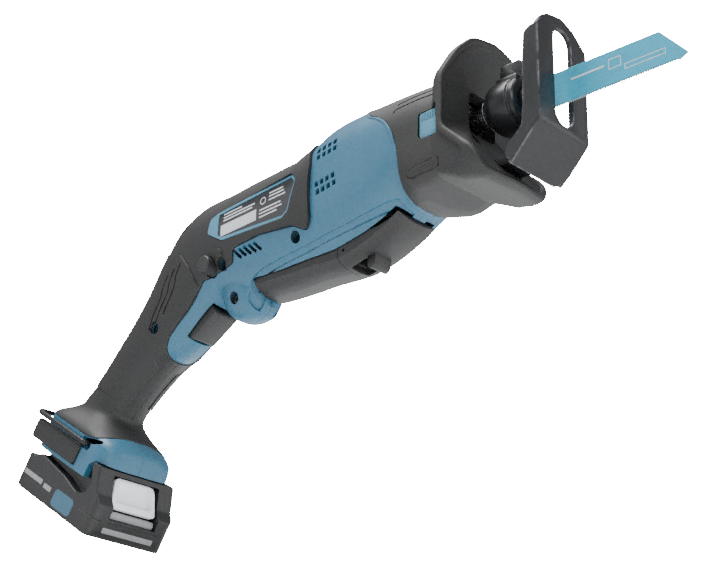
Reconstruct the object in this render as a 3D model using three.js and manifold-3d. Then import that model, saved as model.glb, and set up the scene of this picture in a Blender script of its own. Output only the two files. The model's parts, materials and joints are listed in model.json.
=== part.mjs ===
// Cordless compact reciprocating saw: an assembly of separate named pieces.
// Millimetres, +Z up. Working frame: +X towards the blade tip, +Y to the tool's left,
// origin where the plunger's centre line meets the shoe's front face; the exported
// group is shifted so that its box stands centred on the origin.
import * as THREE from 'three';
import { mergeVertices } from 'three/addons/utils/BufferGeometryUtils.js';
import Module from 'manifold-3d';

const wasm = await Module();
wasm.setup();

// ---- driving dimensions (mm, degrees) ----
const GAP = 0.3;                 // assembly gap between neighbours
const SHELL = 3.0;               // housing wall
const SKIN = 1.2;                // elastomer skin on the grip areas
const STROKE = 13;               // blade stroke
const CRANK_R = STROKE / 2;      // crank pin offset
const CRANK_X = -112;            // crank gear axis
const MOTOR_Z = -20;             // motor axis height
const BLADE = { w: 19.4, t: 1.25, x0: -32, tip: 73.4 };
const BAT_ANGLE = 32.8;          // slope of the battery rails, degrees
const BAT = { s0: -257, s1: -170.5, h0: -330.5, h1: -309.5, w: 28.8 };
const SHOE = { t: 2.5, w: 18.5, slot: 7.8, top: 39.2, bend: -26, pin: [-18.8, -35] };
const OFF = { x: 159.205, z: 184.8 };   // shift that centres the box on the origin

const RAD = Math.PI / 180;
const CU = Math.cos(BAT_ANGLE * RAD), SU = Math.sin(BAT_ANGLE * RAD);

// ---- finishes ----
const mat = (color, roughness, metalness = 0) => new THREE.MeshStandardMaterial({ color, roughness, metalness });
const BLUE = () => mat(0x3f7f9c, 0.45);
const DARK = () => mat(0x2b2c2e, 0.7);
const RUBBER = () => mat(0x242527, 0.85);
const STEEL = () => mat(0x9a9ca0, 0.35, 1);
const BLACKSTEEL = () => mat(0x1c1d1f, 0.4, 0.8);
const ALU = () => mat(0xb4b6b8, 0.45, 1);
const TEAL = () => mat(0x2f98b4, 0.4, 0.3);
const WHITE = () => mat(0xdfe2e6, 0.4);
const COPPER = () => mat(0xb06a35, 0.4, 1);
const LENS = () => mat(0xe8eef2, 0.1);

// ---- mesh and solid helpers ----
function solidOf(g) {
  let b = g.index ? g.toNonIndexed() : g.clone();
  for (const k of Object.keys(b.attributes)) if (k !== 'position') b.deleteAttribute(k);
  b = mergeVertices(b, 1e-4);
  return new wasm.Manifold(new wasm.Mesh({
    numProp: 3,
    vertProperties: new Float32Array(b.attributes.position.array),
    triVerts: new Uint32Array(b.index.array),
  }));
}
function geometryOf(m) {
  const q = m.getMesh();
  const g = new THREE.BufferGeometry();
  const n = q.numProp, v = new Float32Array(q.vertProperties.length / n * 3);
  for (let i = 0; i < v.length / 3; i++) for (let k = 0; k < 3; k++) v[3 * i + k] = q.vertProperties[n * i + k];
  g.setAttribute('position', new THREE.BufferAttribute(v, 3));
  g.setIndex(new THREE.BufferAttribute(new Uint32Array(q.triVerts), 1));
  g.computeVertexNormals();
  return g;
}
// corners moved to a 0.005 mm grid, faces that collapse left out
function snapped(m) {
  const q = m.getMesh(), n = q.numProp, key = new Map(), pos = [], idx = [];
  for (let i = 0; i < q.vertProperties.length / n; i++) {
    const p = [0, 1, 2].map((k) => Math.round(q.vertProperties[n * i + k] / 0.005));
    const id = p.join();
    if (!key.has(id)) { key.set(id, key.size); pos.push(...p.map((v) => v * 0.005)); }
    idx.push(key.get(id));
  }
  const tri = [];
  for (let i = 0; i < q.triVerts.length; i += 3) {
    const [a, b, c] = [idx[q.triVerts[i]], idx[q.triVerts[i + 1]], idx[q.triVerts[i + 2]]];
    if (a !== b && b !== c && c !== a) tri.push(a, b, c);
  }
  try {
    return new wasm.Manifold(new wasm.Mesh({ numProp: 3, vertProperties: new Float32Array(pos), triVerts: new Uint32Array(tri) }));
  } catch (e) { return m; }
}
// rings: lists of equal length of points; closed: the last ring joins the first
function ringGeometry(rings, closed = false) {
  const pos = [], K = rings[0].length, N = rings.length;
  const tri = (a, b, c) => pos.push(...a, ...b, ...c);
  for (let i = 0; i < (closed ? N : N - 1); i++) {
    const A = rings[i], B = rings[(i + 1) % N];
    for (let k = 0; k < K; k++) {
      const j = (k + 1) % K;
      tri(A[k], A[j], B[j]); tri(A[k], B[j], B[k]);
    }
  }
  if (!closed) {
    for (const [R, flip] of [[rings[0], true], [rings[N - 1], false]]) {
      const c = [0, 1, 2].map((d) => R.reduce((s, p) => s + p[d], 0) / K);
      for (let k = 0; k < K; k++) {
        const j = (k + 1) % K;
        if (flip) tri(c, R[j], R[k]); else tri(c, R[k], R[j]);
      }
    }
  }
  const g = new THREE.BufferGeometry();
  g.setAttribute('position', new THREE.Float32BufferAttribute(pos, 3));
  return g;
}
function ringSolid(rings, closed) {
  let m = solidOf(ringGeometry(rings, closed));
  if (m.volume() < 0) {
    m = solidOf(ringGeometry(rings.map((r) => [...r].reverse()), closed));
  }
  return m;
}
const place = (g, x, y, z, ry = 0, rx = 0, rz = 0) => {
  g.applyMatrix4(new THREE.Matrix4().makeRotationFromEuler(new THREE.Euler(rx, ry, rz)));
  g.translate(x, y, z);
  return g;
};
const box = (x0, x1, y0, y1, z0, z1) =>
  solidOf(place(new THREE.BoxGeometry(x1 - x0, y1 - y0, z1 - z0), (x0 + x1) / 2, (y0 + y1) / 2, (z0 + z1) / 2));
// cylinders along each axis
const cylX = (r, x0, x1, y, z, seg = 20, r2 = r) =>
  solidOf(place(new THREE.CylinderGeometry(r2, r, x1 - x0, seg), 0, 0, 0, 0, 0, -Math.PI / 2).translate((x0 + x1) / 2, y, z));
const cylY = (r, y0, y1, x, z, seg = 20) =>
  solidOf(new THREE.CylinderGeometry(r, r, y1 - y0, seg).translate(x, (y0 + y1) / 2, z));
const cylZ = (r, z0, z1, x, y, seg = 20) =>
  solidOf(place(new THREE.CylinderGeometry(r, r, z1 - z0, seg), x, y, (z0 + z1) / 2, 0, Math.PI / 2));
// outline in the X-Z plane, thick along Y from y0 to y1
function plateY(pts, y0, y1) {
  const s = new THREE.Shape(pts.map((p) => new THREE.Vector2(p[0], p[1])));
  const g = new THREE.ExtrudeGeometry(s, { depth: y1 - y0, bevelEnabled: false });
  g.rotateX(Math.PI / 2);
  g.translate(0, y1, 0);
  return solidOf(g);
}
// battery frame: s along the rails (forwards, down), h square to them (up)
const sh = (s, h) => [s * CU + h * SU, -s * SU + h * CU];
const plateS = (pts, y0, y1) => plateY(pts.map(([s, h]) => sh(s, h)), y0, y1);
const boxS = (s0, s1, y0, y1, h0, h1) => plateS([[s0, h0], [s1, h0], [s1, h1], [s0, h1]], y0, y1);

const sgnpow = (v, p) => Math.sign(v) * Math.pow(Math.abs(v), p);
// one section of the body: centre (x,z), tilt of its up direction, sizes above and below, half width
function section(st, K, inset = 0) {
  const [cx, cz, psi, a, b, w, n] = st;
  const up = [-Math.sin(psi * RAD), Math.cos(psi * RAD)];
  const out = [];
  for (let k = 0; k < K; k++) {
    const t = 2 * Math.PI * (k + 0.5) / K;
    const y = (w - inset) * sgnpow(Math.cos(t), 2 / n);
    const v = ((Math.sin(t) > 0 ? a : b) - inset) * sgnpow(Math.sin(t), 2 / n);
    out.push([cx + v * up[0], y, cz + v * up[1]]);
  }
  return out;
}

// ---- body stations, front to back: x, z, tilt, above, below, half width, squareness ----
const st = (x, top, bot, w, n = 2.35, c = -14) => [x, c, 0, top - c, c - bot, w, n];
const BODY = [
  st(-74, 24, -40.2, 30, 2.4, -8.5), st(-92, 24.5, -42.3, 30.3, 2.4, -9), st(-98, 25, -46, 30.2, 2.4, -10),
  st(-106, 25.3, -51, 30, 2.4, -11.5), st(-118, 25.7, -55.5, 29.7, 2.4, -13), st(-130, 25.8, -58.5, 29.3),
  st(-142, 24, -61, 28.8), st(-150, 20.4, -61.8, 28.3), st(-158, 15.4, -62, 27.8), st(-168, 12.2, -62.2, 27.3, 2.35, -16),
  st(-185, 11.2, -62.4, 27, 2.35, -18), st(-205, 10.3, -61.5, 26.5, 2.35, -19), st(-222, 9.2, -58.5, 26, 2.3, -20),
  [-240, -22, 8, 30, 34, 25, 2.25], [-256, -29, 20, 31.5, 32, 23.6, 2.2], [-269, -39, 32, 26.8, 30.5, 22, 2.15],
  [-282.4, -51.8, 40, 23, 28.8, 20.5, 2.1], [-292, -60, 40, 20.8, 26, 19.2, 2.1], [-299, -66, 40, 19.4, 21.5, 18.5, 2.1],
  [-307, -72.6, 40, 18.3, 18.6, 18, 2.1], [-322, -85, 41, 16.7, 17, 16.8, 2.1], [-332, -93.8, 44, 16, 16.6, 16.4, 2.15],
];
// base of the handle in battery coordinates: h, s back, s front, half width, squareness
const FOOT = [[-268.5, -248, -211, 17.6, 2.3], [-273, -252, -201, 20.5, 2.6], [-276.5, -255.5, -192, 24.5, 3.2],
  [-281, -257, -187, 27.4, 4.5], [-290, -257, -184, 28.2, 5], [-304, -256, -183, 28.2, 5]];
function footStation([h, sb, sf, w, n]) {
  const [x, z] = sh((sb + sf) / 2, h);
  return [x, z, 90 - BAT_ANGLE, (sf - sb) / 2, (sf - sb) / 2, w, n];
}
const SPINE = [...BODY, ...FOOT.map(footStation)];
const KB = 24;
const spine = (inset, from = 0, to = SPINE.length) => ringSolid(SPINE.slice(from, to).map((q) => section(q, KB, inset)));
const LINER = [0, 2, 4, 5, 7, 9, 12, 14, 16, 18, 20, 22, 24, 26];   // stations the inside follows

// lobe under the body in front of the rear trigger
const LOBE = [[-40, 18, 18, -221], [-52, 18.2, 16.5, -221], [-60, 17, 15, -221], [-66, 13.5, 12, -220], [-70, 8.5, 7.5, -219], [-71.5, 3.5, 3, -218.5]];
const lobe = (inset) => ringSolid(LOBE.map(([z, hl, w, cx], i) => {
  const r = [];
  for (let k = 0; k < 24; k++) {
    const t = 2 * Math.PI * k / 24;
    r.push([cx + Math.max(hl - inset, 0.6) * sgnpow(Math.cos(t), 0.85), Math.max(w - inset, 0.6) * sgnpow(Math.sin(t), 0.85), z + (i === LOBE.length - 1 ? inset : i ? inset * 0.5 : 0)]);
  }
  return r;
}));

// line where the boot ends and the housing begins, seen from the side
const FRONT = [[-128, 60], [-119, 27], [-110.6, 12.9], [-102, 7.8], [-93.8, 2.1], [-89.5, -6.7], [-86.3, -21.8], [-87.2, -33.8], [-89.3, -39.1], [-91, -60]];
const ahead = plateY([[60, 60], ...FRONT, [60, -60]], -60, 60);
const behind = plateY([...FRONT.map(([x, z]) => [x - GAP * 1.4, z - (z < -38 ? 0.2 : 0)]), [-91, -260], [-480, -260], [-480, 60]].reverse(), -60, 60);
// grip areas covered by the elastomer skin, seen from the side
const GRIP = [[-157, 60], [-156, 20], [-150.5, -5], [-152, -36], [-155.5, -42], [-166, -36.5], [-192, -35], [-208, -40], [-222, -44],
  [-243, -46], [-247, -49.4], [-258, -58.6], [-275.5, -71.3], [-279.5, -76], [-282, -81], [-276, -93], sh(-196.5, -255), sh(-196.5, -277), sh(-201, -280.3),
  sh(-208, -281.6), sh(-275, -281.6), [-420, -60], [-420, 60]];
const gripCut = plateY(GRIP, -60, 60);
const gripSkinRegion = (() => {           // same outline, drawn in by the gap
  const c = GRIP.map((p) => new THREE.Vector2(...p));
  const area = c.reduce((s, p, i) => s + p.x * c[(i + 1) % c.length].y - p.y * c[(i + 1) % c.length].x, 0);
  const d = area > 0 ? 1 : -1;
  return plateY(c.map((p, i) => {
    const a = c[(i + c.length - 1) % c.length], b = c[(i + 1) % c.length];
    const u = p.clone().sub(a).normalize(), v = b.clone().sub(p).normalize();
    const m = new THREE.Vector2(-(u.y + v.y), u.x + v.x).normalize().multiplyScalar(0.4 * d);
    return [p.x + m.x, p.y + m.y];
  }), -60, 60);
})();

// ---- screws and their bosses: name, x, z, outer reach of the boss ----
const SCREWS = [['front', -165.5, -42.5, 21], ['lobe', -222, -60.5, 12], ['middle', -224.5, -41.5, 20], ['rear_top', -262, -6, 12], ['grip', -284, -64.5, 15]];
let bosses = null, bores = null;
for (const [, x, z, y] of SCREWS) {
  const b = cylY(4.6, -y, y, x, z, 16);
  const c = cylY(3.5, -40, -9, x, z, 16).add(cylY(1.9, -10, 12, x, z, 12));
  bosses = bosses ? bosses.add(b) : b;
  bores = bores ? bores.add(c) : c;
}

// ---- lever (front paddle switch) region: under the body ----
const LEV = { x0: -205, x1: -97.5, w: 15.2, top: -50 };
const leverCut = plateY([[LEV.x1 + 1, -66], [LEV.x1 + 1, -36.8], [-108, -37.6], [-130, -40], [LEV.x0 - 1.2, -46.5], [LEV.x0 - 1.2, -66]], -LEV.w - 0.8, LEV.w + 0.8)
  .add(box(-214, -203, -8.8, 8.8, -59, -46));   // slot in the lobe for the lever's tongue
const PIVOT = [-208.5, -53.4];                    // lever pivot, inside the lobe

// rear trigger, in side view (outer face, front end, inner end, rear end)
const TRIG = [[-242.5, -61.5], [-263, -73.8], [-268.5, -64.3], [-249, -52.4], [-246, -56.2]];
const trigCut = plateY([[-238.8, -65.2], [-261.1, -78.9], [-273.1, -58.4], [-250.6, -44.7]], -9.8, 9.8);

// ---- housing halves ----
const inner = ringSolid(LINER.map((i) => section(SPINE[i], KB, SHELL))).add(lobe(SHELL));
const outerAll = spine(0).add(lobe(0));
const underSkin = spine(SKIN + GAP).add(lobe(0));
const chan = boxS(-253, -170, -23.6, 23.6, -306, -291.2);            // battery channel, open to the front
const chanRoof = boxS(-262, -170, -40, 40, -320, -303);              // trims the skirt
const noseCut = boxS(-196.5, -150, -40, 40, -330, -291.2);           // the front of the foot stops higher
const front = spine(0, 0, 3);
let housing = outerAll.subtract(gripCut).add(underSkin).intersect(behind)
  .subtract(inner.subtract(boxS(-262, -150, -40, 40, -330, -288))).add(bosses.intersect(outerAll.subtract(gripCut).add(underSkin)));
const floorOfFoot = underSkin.intersect(boxS(-262, -150, -40, 40, -306, -288));
housing = housing.add(floorOfFoot).subtract(chan).subtract(chanRoof).subtract(noseCut);
housing = housing.subtract(bores).subtract(leverCut).subtract(trigCut).subtract(cylY(2.3, -13.2, 13.2, ...PIVOT, 14));
// vents: two small grids beside the motor's fan and a row of slots low behind the motor, each side
const cuts = [];
for (const s of [-1, 1]) {
  for (let i = 0; i < 4; i++) for (let j = 0; j < 2; j++) {
    for (const z of [1.5, -19.5]) {
      const x = -146 + i * 3.7, zz = z - j * 4.2;
      cuts.push(box(x - 0.9, x + 0.9, s > 0 ? 20 : -40, s > 0 ? 40 : -20, zz - 1.4, zz + 1.4));
    }
  }
  for (let i = 0; i < 5; i++) {
    const x = -213 + i * 4.2;
    cuts.push(plateY([[x, -44.3], [x + 1.7, -44.3], [x + 0.2, -37.8], [x - 1.5, -37.8]], s > 0 ? 16 : -40, s > 0 ? 40 : -16));
  }
}
for (const c of cuts) housing = housing.subtract(c);
// lock button passes across the housing
const LOCK = [-234.5, -40.5];
housing = housing.subtract(cylY(5.6, -40, 40, ...LOCK, 20));
// hook pivots: short bores in the foot's sides
const HOOK = sh(-205.5, -285.5);
housing = housing.subtract(cylY(1.9, -40, -22, ...HOOK, 12)).subtract(cylY(1.9, 22, 40, ...HOOK, 12));
// recess for the foot's rubber bumpers
const bump = (g, y0, y1) => boxS(-258 - g, -209 + g, y0, y1, -300.5 - g, -288 + g);
housing = housing.subtract(bump(GAP, -40, -26)).subtract(bump(GAP, 26, 40));
const rightHalf = box(-500, 100, -60, -0.15, -300, 100), leftHalf = box(-500, 100, 0.15, 60, -300, 100);

let skin = outerAll.intersect(gripSkinRegion).subtract(spine(SKIN).add(lobe(0.0)));
skin = skin.subtract(trigCut).subtract(cylY(5.6, -40, 40, ...LOCK, 20));
for (const [, x, z] of SCREWS) skin = skin.subtract(cylY(3.8, -60, 0, x, z, 16));
for (const c of cuts) skin = skin.subtract(c);

// ---- boot: a hollow body that flares into the bell, rim set back at the sides ----
const RIM = [[-33, 0, -54], [-33, 15, -54], [-25.5, 33, -45.5], [-17, 39.4, -43.5], [0, 41.5, -42],
  [17, 39.4, -43.5], [25.5, 33, -45.5], [33, 15, -54], [33, 0, -54], [33, -15.5, -54], [28.5, -35, -36], [22, -46.5, -30.5], [0, -49, -28],
  [-22, -46.5, -30.5], [-28.5, -35, -36], [-33, -15.5, -54]];
function rimPoints(K) {
  const P = RIM.map((p) => new THREE.Vector3(...p));
  const len = [0];
  for (let i = 0; i < P.length; i++) len.push(len[i] + P[i].distanceTo(P[(i + 1) % P.length]));
  const out = [];
  for (let k = 0; k < K; k++) {
    const d = len[P.length] * k / K;
    let i = 0; while (len[i + 1] <= d) i++;
    out.push(P[i].clone().lerp(P[(i + 1) % P.length], (d - len[i]) / (len[i + 1] - len[i])));
  }
  return out;
}
const KR = 28;
function bootRings(t) {
  // for each place on the rim, the matching point of the body ring at a station (x, centre, half height, half width)
  const ring = (p, x, c, h, w, n = 2.4) => {
    const a = Math.atan2((p.y + 5) / 43, p.x / 33);
    return [x, w * sgnpow(Math.cos(a), 2 / n), c + h * sgnpow(Math.sin(a), 2 / n)];
  };
  const toRim = (p, f, dx) => [p.z + dx, p.x * f, -5 + (p.y + 5) * f];
  return rimPoints(KR).map((p) => [
    ring(p, -128, -8.5, 33.2, 30.3), ring(p, -92, -9, 33.3, 30.3), ring(p, -76, -8.2, 32.2, 30), ring(p, -64, -7.5, 31, 28.8),
    toRim(p, 0.93, -6.5), toRim(p, 0.995, -4), toRim(p, 1, -1), toRim(p, 0.965, 0),
    toRim(p, 0.9, -2.5), ring(p, -57, -6, 27, 24, 3), ring(p, -60.5, -6, 26.5, 23.5, 3), ring(p, -60.6, -7.5, 28, 25.8), ring(p, -76, -8.2, 29.2, 27), ring(p, -92, -9, 30.3, 27.3), ring(p, -128, -8.5, 30.2, 27.3),
  ]);
}
let boot = ringSolid(bootRings(), true).intersect(ahead.subtract(plateY([[-200, 60], [-126, 60], [-126, -60], [-200, -60]], -60, 60)));
const WIN = [-72.5, -57.5, -16.5, -0.8];
boot = boot.subtract(box(WIN[0], WIN[1], -40, -20, WIN[2], WIN[3])).subtract(box(-90, -38, -9.7, 9.7, -37.4, -32.1));
// keep the boot clear of the housing where both wrap the same line
const bootKeep = boot;

// ---- gear housing: die-cast box with the plunger's bore, open to the motor ----
const gearSec = (x, g) => [x, -6.5, 0, 22 - g, 22.5 - g, 22.5 - g, 4];
let gearbox = ringSolid([-64, -131].map((x) => section(gearSec(x, 0), 24)))
  .subtract(ringSolid([-68, -135].map((x) => section(gearSec(x, 3), 24))))
  .subtract(cylX(8.6, -70, -60, 0, 0, 24));
gearbox = gearbox.subtract(cylZ(3.4, -35, -20, CRANK_X, 0, 16));

// ---- nodes ----
const group = new THREE.Group();
const part = new THREE.Group();
group.add(part);
part.position.set(OFF.x, 0, OFF.z);
let total = 0;
function add(name, solid, material) {
  const pieces = solid.decompose();
  let s = solid;
  if (pieces.length > 1) {                   // drop slivers left by a cut
    pieces.sort((a, b) => b.volume() - a.volume());
    if (pieces[1].volume() > 0.02 * pieces[0].volume()) console.error(name, 'is in', pieces.length, 'pieces', pieces.slice(0, 4).map((p) => p.volume().toFixed(1)));
    s = pieces[0];
  }
  for (let i = 0; i < 3; i++) {              // keep the one body once its corners sit on a fine grid
    s = snapped(s).decompose().sort((a, b) => b.volume() - a.volume())[0];
  }
  const m = new THREE.Mesh(geometryOf(s), material);
  m.name = name;
  total += s.numTri();
  part.add(m);
  return m;
}

add('housing_right', housing.intersect(rightHalf), BLUE());
add('housing_left', housing.intersect(leftHalf), BLUE());
add('grip_skin_right', skin.intersect(rightHalf), RUBBER());
add('grip_skin_left', skin.intersect(leftHalf), RUBBER());
add('front_boot', bootKeep, RUBBER());
add('gear_housing', gearbox, ALU());
for (const [n, x, z] of SCREWS) {
  add('housing_screw_' + n, cylY(3.0, -12.5, -9.4, x, z, 12).add(cylY(1.5, -9.6, 11, x, z, 10)), STEEL());
}

// motor
add('motor_can', cylX(17.6, -201, -150, 0, MOTOR_Z, 28).subtract(cylX(16, -198.8, -152.2, 0, MOTOR_Z, 28))
  .subtract(cylX(3.6, -205, -196, 0, MOTOR_Z, 12)).subtract(cylX(5.5, -154, -148, 0, MOTOR_Z, 16)), STEEL());
for (const [n, s] of [['upper', 1], ['lower', -1]]) {
  add('motor_magnet_' + n, cylX(15.6, -192, -159, 0, MOTOR_Z, 28).subtract(cylX(13, -193, -158, 0, MOTOR_Z, 28))
    .intersect(box(-195, -155, -12.5, 12.5, s > 0 ? MOTOR_Z + 3 : MOTOR_Z - 20, s > 0 ? MOTOR_Z + 20 : MOTOR_Z - 3)), DARK());
}
let rotor = cylX(2, -203, -123, 0, MOTOR_Z, 12).add(cylX(12, -190, -161, 0, MOTOR_Z, 24)).add(cylX(6, -197, -191, 0, MOTOR_Z, 16));
add('motor_rotor', rotor, COPPER());
let fan = cylX(4, -148.6, -141.5, 0, MOTOR_Z, 14).add(cylX(15.5, -148.6, -147.4, 0, MOTOR_Z, 24));
for (let i = 0; i < 7; i++) {
  const g = new THREE.BoxGeometry(6.2, 12, 1.1); g.translate(-144.6, 8.8, 0); g.rotateX(2 * Math.PI * i / 7); g.translate(0, 0, MOTOR_Z);
  fan = fan.add(solidOf(g));
}
add('cooling_fan', fan.subtract(cylX(2.3, -160, -130, 0, MOTOR_Z, 12)), DARK());
let pinion = cylX(4.2, -130.5, -123.6, 0, MOTOR_Z - 1.5, 10, 3.2);
pinion = cylX(4.3, -131, -124, 0, MOTOR_Z, 10, 3.1).subtract(cylX(2.3, -140, -110, 0, MOTOR_Z, 12));
add('drive_pinion', pinion, STEEL());

// crank
let gear = cylZ(16, -13.2, -9.4, CRANK_X, 0, 32).add(cylZ(3, -28.6, -13, CRANK_X, 0, 14)).add(cylZ(3.2, -9.6, -6.3, CRANK_X, CRANK_R, 14)).add(cylZ(7, -16, -13, CRANK_X, 0, 16));
add('crank_gear', gear, STEEL());

// plunger with its crosshead slot, opened above the crank pin
let plunger = cylX(6, -103, -37, 0, 0, 20).add(box(-119, -102, -12.5, 12.5, -5.6, 5.5))
  .subtract(box(-115.6, -108.4, -10.5, 10.5, -8, 8)).subtract(cylX(2.4, -60, -30, 0, 0, 10));
add('plunger', plunger, STEEL());
add('plunger_bush', cylX(8.3, -76, -62.5, 0, 0, 24).subtract(cylX(6.3, -80, -60, 0, 0, 24)), COPPER());

// blade clamp: slotted holder on the plunger's end, sleeve with its finger tab, spring
let holder = cylX(8.2, -36.7, -19.5, 0, 0, 20).add(cylX(2.1, -42, -36, 0, 0, 10)).subtract(box(-33, -10, -0.95, 0.95, -10.6, 10.6));
add('blade_clamp', holder, BLACKSTEEL());
let sleeve = cylX(13, -38, -22.5, 0, 0, 26).subtract(cylX(8.6, -50, -10, 0, 0, 24))
  .add(plateY([[-36.5, 11], [-23, 11], [-21.5, 14], [-23.6, 24], [-35.5, 23.4]], -5.2, -2.4))
  .add(box(-36, -23, -9, -2.6, 8.8, 13));
sleeve = sleeve.subtract(cylX(8.6, -50, -10, 0, 0, 24));
add('clamp_sleeve', sleeve, BLACKSTEEL());
class Helix extends THREE.Curve {
  constructor(r, x0, x1, turns) { super(); Object.assign(this, { r, x0, x1, turns }); }
  getPoint(t, o = new THREE.Vector3()) { const a = 2 * Math.PI * this.turns * t; return o.set(this.x0 + (this.x1 - this.x0) * t, this.r * Math.cos(a), this.r * Math.sin(a)); }
}
function wire(curve, r, steps, sides = 6) {
  const sh = new THREE.Shape();
  for (let i = 0; i < sides; i++) { const a = 2 * Math.PI * i / sides; i ? sh.lineTo(r * Math.cos(a), r * Math.sin(a)) : sh.moveTo(r * Math.cos(a), r * Math.sin(a)); }
  sh.closePath();
  return solidOf(new THREE.ExtrudeGeometry(sh, { steps, extrudePath: curve, bevelEnabled: false }));
}
add('clamp_spring', wire(new Helix(8.8, -47.5, -39.4, 3.6), 0.75, 44, 5), STEEL());

// blade: tapered nose, toothed lower edge
const teeth = [];
for (let i = 0; i < 15; i++) { const x = -8 + i * 5; teeth.push([x, -9.7], [x + 4.3, -8.9]); }
const bladeOutline = [[-32, 6.5], [-20, 6.5], [-14, 9.9], [58, 9.9], [BLADE.tip, -6.9], [68.4, -9.7], [66.6, -8.9], ...teeth.reverse(), [-14, -9.7], [-20, -6.5], [-32, -6.5]];
add('blade', plateY(bladeOutline, -BLADE.t / 2, BLADE.t / 2), TEAL());

// ---- shoe: folded plate that tilts on a cross pin at the end of a sliding bar ----
const slotShape = (half, top, bot, r) => {
  const pts = [];
  for (let i = 0; i <= 8; i++) pts.push(new THREE.Vector2(half * Math.cos(Math.PI * i / 8), top - r + r * Math.sin(Math.PI * i / 8)));
  for (let i = 0; i <= 8; i++) pts.push(new THREE.Vector2(-half * Math.cos(Math.PI * i / 8), bot + r - r * Math.sin(Math.PI * i / 8)));
  return pts;
};
const faceShape = new THREE.Shape([[-11.5, SHOE.top - 0.3], [0, SHOE.top + 1.5], [9.9, 37.6], [SHOE.w + 0.8, 29], [SHOE.w + 0.8, SHOE.bend], [-SHOE.w, SHOE.bend], [-SHOE.w, 30.6], [-14.5, 37]].map((p) => new THREE.Vector2(...p)));
faceShape.holes.push(new THREE.Path(slotShape(SHOE.slot, 33.9, -22.4, SHOE.slot)));
// shape (y,z) extruded along x
const faceGeo = new THREE.ExtrudeGeometry(faceShape, { depth: SHOE.t, bevelEnabled: false });
faceGeo.applyMatrix4(new THREE.Matrix4().set(0, 0, 1, -SHOE.t, 1, 0, 0, 0, 0, 1, 0, 0, 0, 0, 0, 1));
let shoe = solidOf(faceGeo);
if (shoe.volume() < 0) shoe = solidOf(faceGeo.clone().scale(1, 1, 1));
shoe = shoe.add(plateY([[0, -25.5], [-SHOE.t, -25.5], [-20, -43.1], [-18.3, -44.9]], -SHOE.w, SHOE.w + 0.8));
for (const s of [-1, 1]) {
  const y0 = s < 0 ? -SHOE.w : SHOE.w + 0.8 - SHOE.t, y1 = s < 0 ? -SHOE.w + SHOE.t : SHOE.w + 0.8;
  shoe = shoe.add(plateY([[-0.4, 30.4], [-5, 29.8], [-9.4, 27.6], [-10.6, 10], [-10.5, -14], [-14, -25], [-21.5, -33.5], [-22, -39], [-18.6, -41.5], [-16.5, -41.9], [-0.4, -26]], y0, y1));
}
const [PX, PZ] = SHOE.pin;
shoe = shoe.subtract(cylY(2.35, -40, 40, PX, PZ, 16));
add('shoe', shoe, BLACKSTEEL());
add('shoe_pin', cylY(2.0, -18.2, 18.8, PX, PZ, 16), STEEL());
// bar: eye round the pin, flat bar running back under the gear housing
let bar = box(-108, -20, -9, 9, -36.8, -32.8).add(cylY(4.2, -13.5, 13.5, PX, PZ, 16)).subtract(cylY(2.35, -40, 40, PX, PZ, 16));
for (let i = 0; i < 6; i++) bar = bar.subtract(box(-75.5 + i * 4, -73.5 + i * 4, -9.5, -6.5, -40, -30));
add('shoe_bar', bar, STEEL());
// ribbed release button in the boot's window
let rel = box(WIN[0] + 0.7, WIN[1] - 0.7, -29.3, -25.3, WIN[2] + 0.7, WIN[3] - 0.7);
for (let i = 0; i < 5; i++) rel = rel.add(box(WIN[0] + 2.4 + i * 2.6, WIN[0] + 3.6 + i * 2.6, -30.1, -29, WIN[2] + 1.6, WIN[3] - 1.6));
add('shoe_release_button', rel, BLUE());
add('led_lens', cylX(2.6, -56.5, -50.5, -11, -17.5, 14).add(cylX(3.4, -56.5, -55, -11, -17.5, 14)), LENS());

// ---- front paddle lever: rear part, front cover, lock-off slider ----
const leverBody = ringSolid(BODY.slice(1, 13).map((q) => section([q[0], q[1], q[2], q[3], q[4] + 0.8, q[5] + 0.8, q[6]], KB)));
const leverZone = (x0, x1, top) => plateY([[x0, -70], [x1, -70], [x1, top[1]], [x0, top[0]]], -LEV.w, LEV.w);
let lever = leverBody.intersect(leverZone(LEV.x0, -141.6, [-52, -50.5]));
lever = lever.subtract(box(-198, -146, -12.8, 12.8, -59.5, -40)).add(box(-208.5, -198, -8, 8, -57.4, -52)).add(cylY(4, -8, 8, ...PIVOT, 16)).subtract(cylY(2.3, -30, 30, ...PIVOT, 14));
add('switch_lever', lever, DARK());
let cover = leverBody.intersect(plateY([[-141, -70], [-97.5, -70], [-97.5, -44], [-104, -47], [-112, -49], [-141, -50]], -LEV.w, LEV.w));
cover = cover.subtract(box(-138, -112, -5.2, 5.2, -70, -40));
add('lever_front_cover', cover, DARK());
add('lock_off_slider', box(-125, -113, -4.6, 4.6, -60.2, -51).add(box(-124.4, -118.6, -4.4, 4.4, -65.4, -60)), DARK());
add('lever_pin', cylY(2.0, -12.8, 12.8, ...PIVOT, 14), STEEL());

// ---- rear trigger, lock button, switches ----
add('rear_trigger', plateY(TRIG, -9, 9), DARK());
add('lock_button', cylY(5.1, -29.2, 26.2, ...LOCK, 20).subtract(box(-245, -220, -14, 14, LOCK[1] - 6, LOCK[1] - 1.8)), DARK());
add('paddle_switch', box(-196, -172, -8, 8, -49, -39.2), DARK());
add('main_switch', (() => { const g = new THREE.BoxGeometry(24, 17, 15); g.rotateY(-40 * RAD); g.translate(-272.5, 0, -43.5); return solidOf(g); })(), DARK());
add('control_board', box(-232, -206, -14, 14, -14, -11.5), BLUE());

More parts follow.
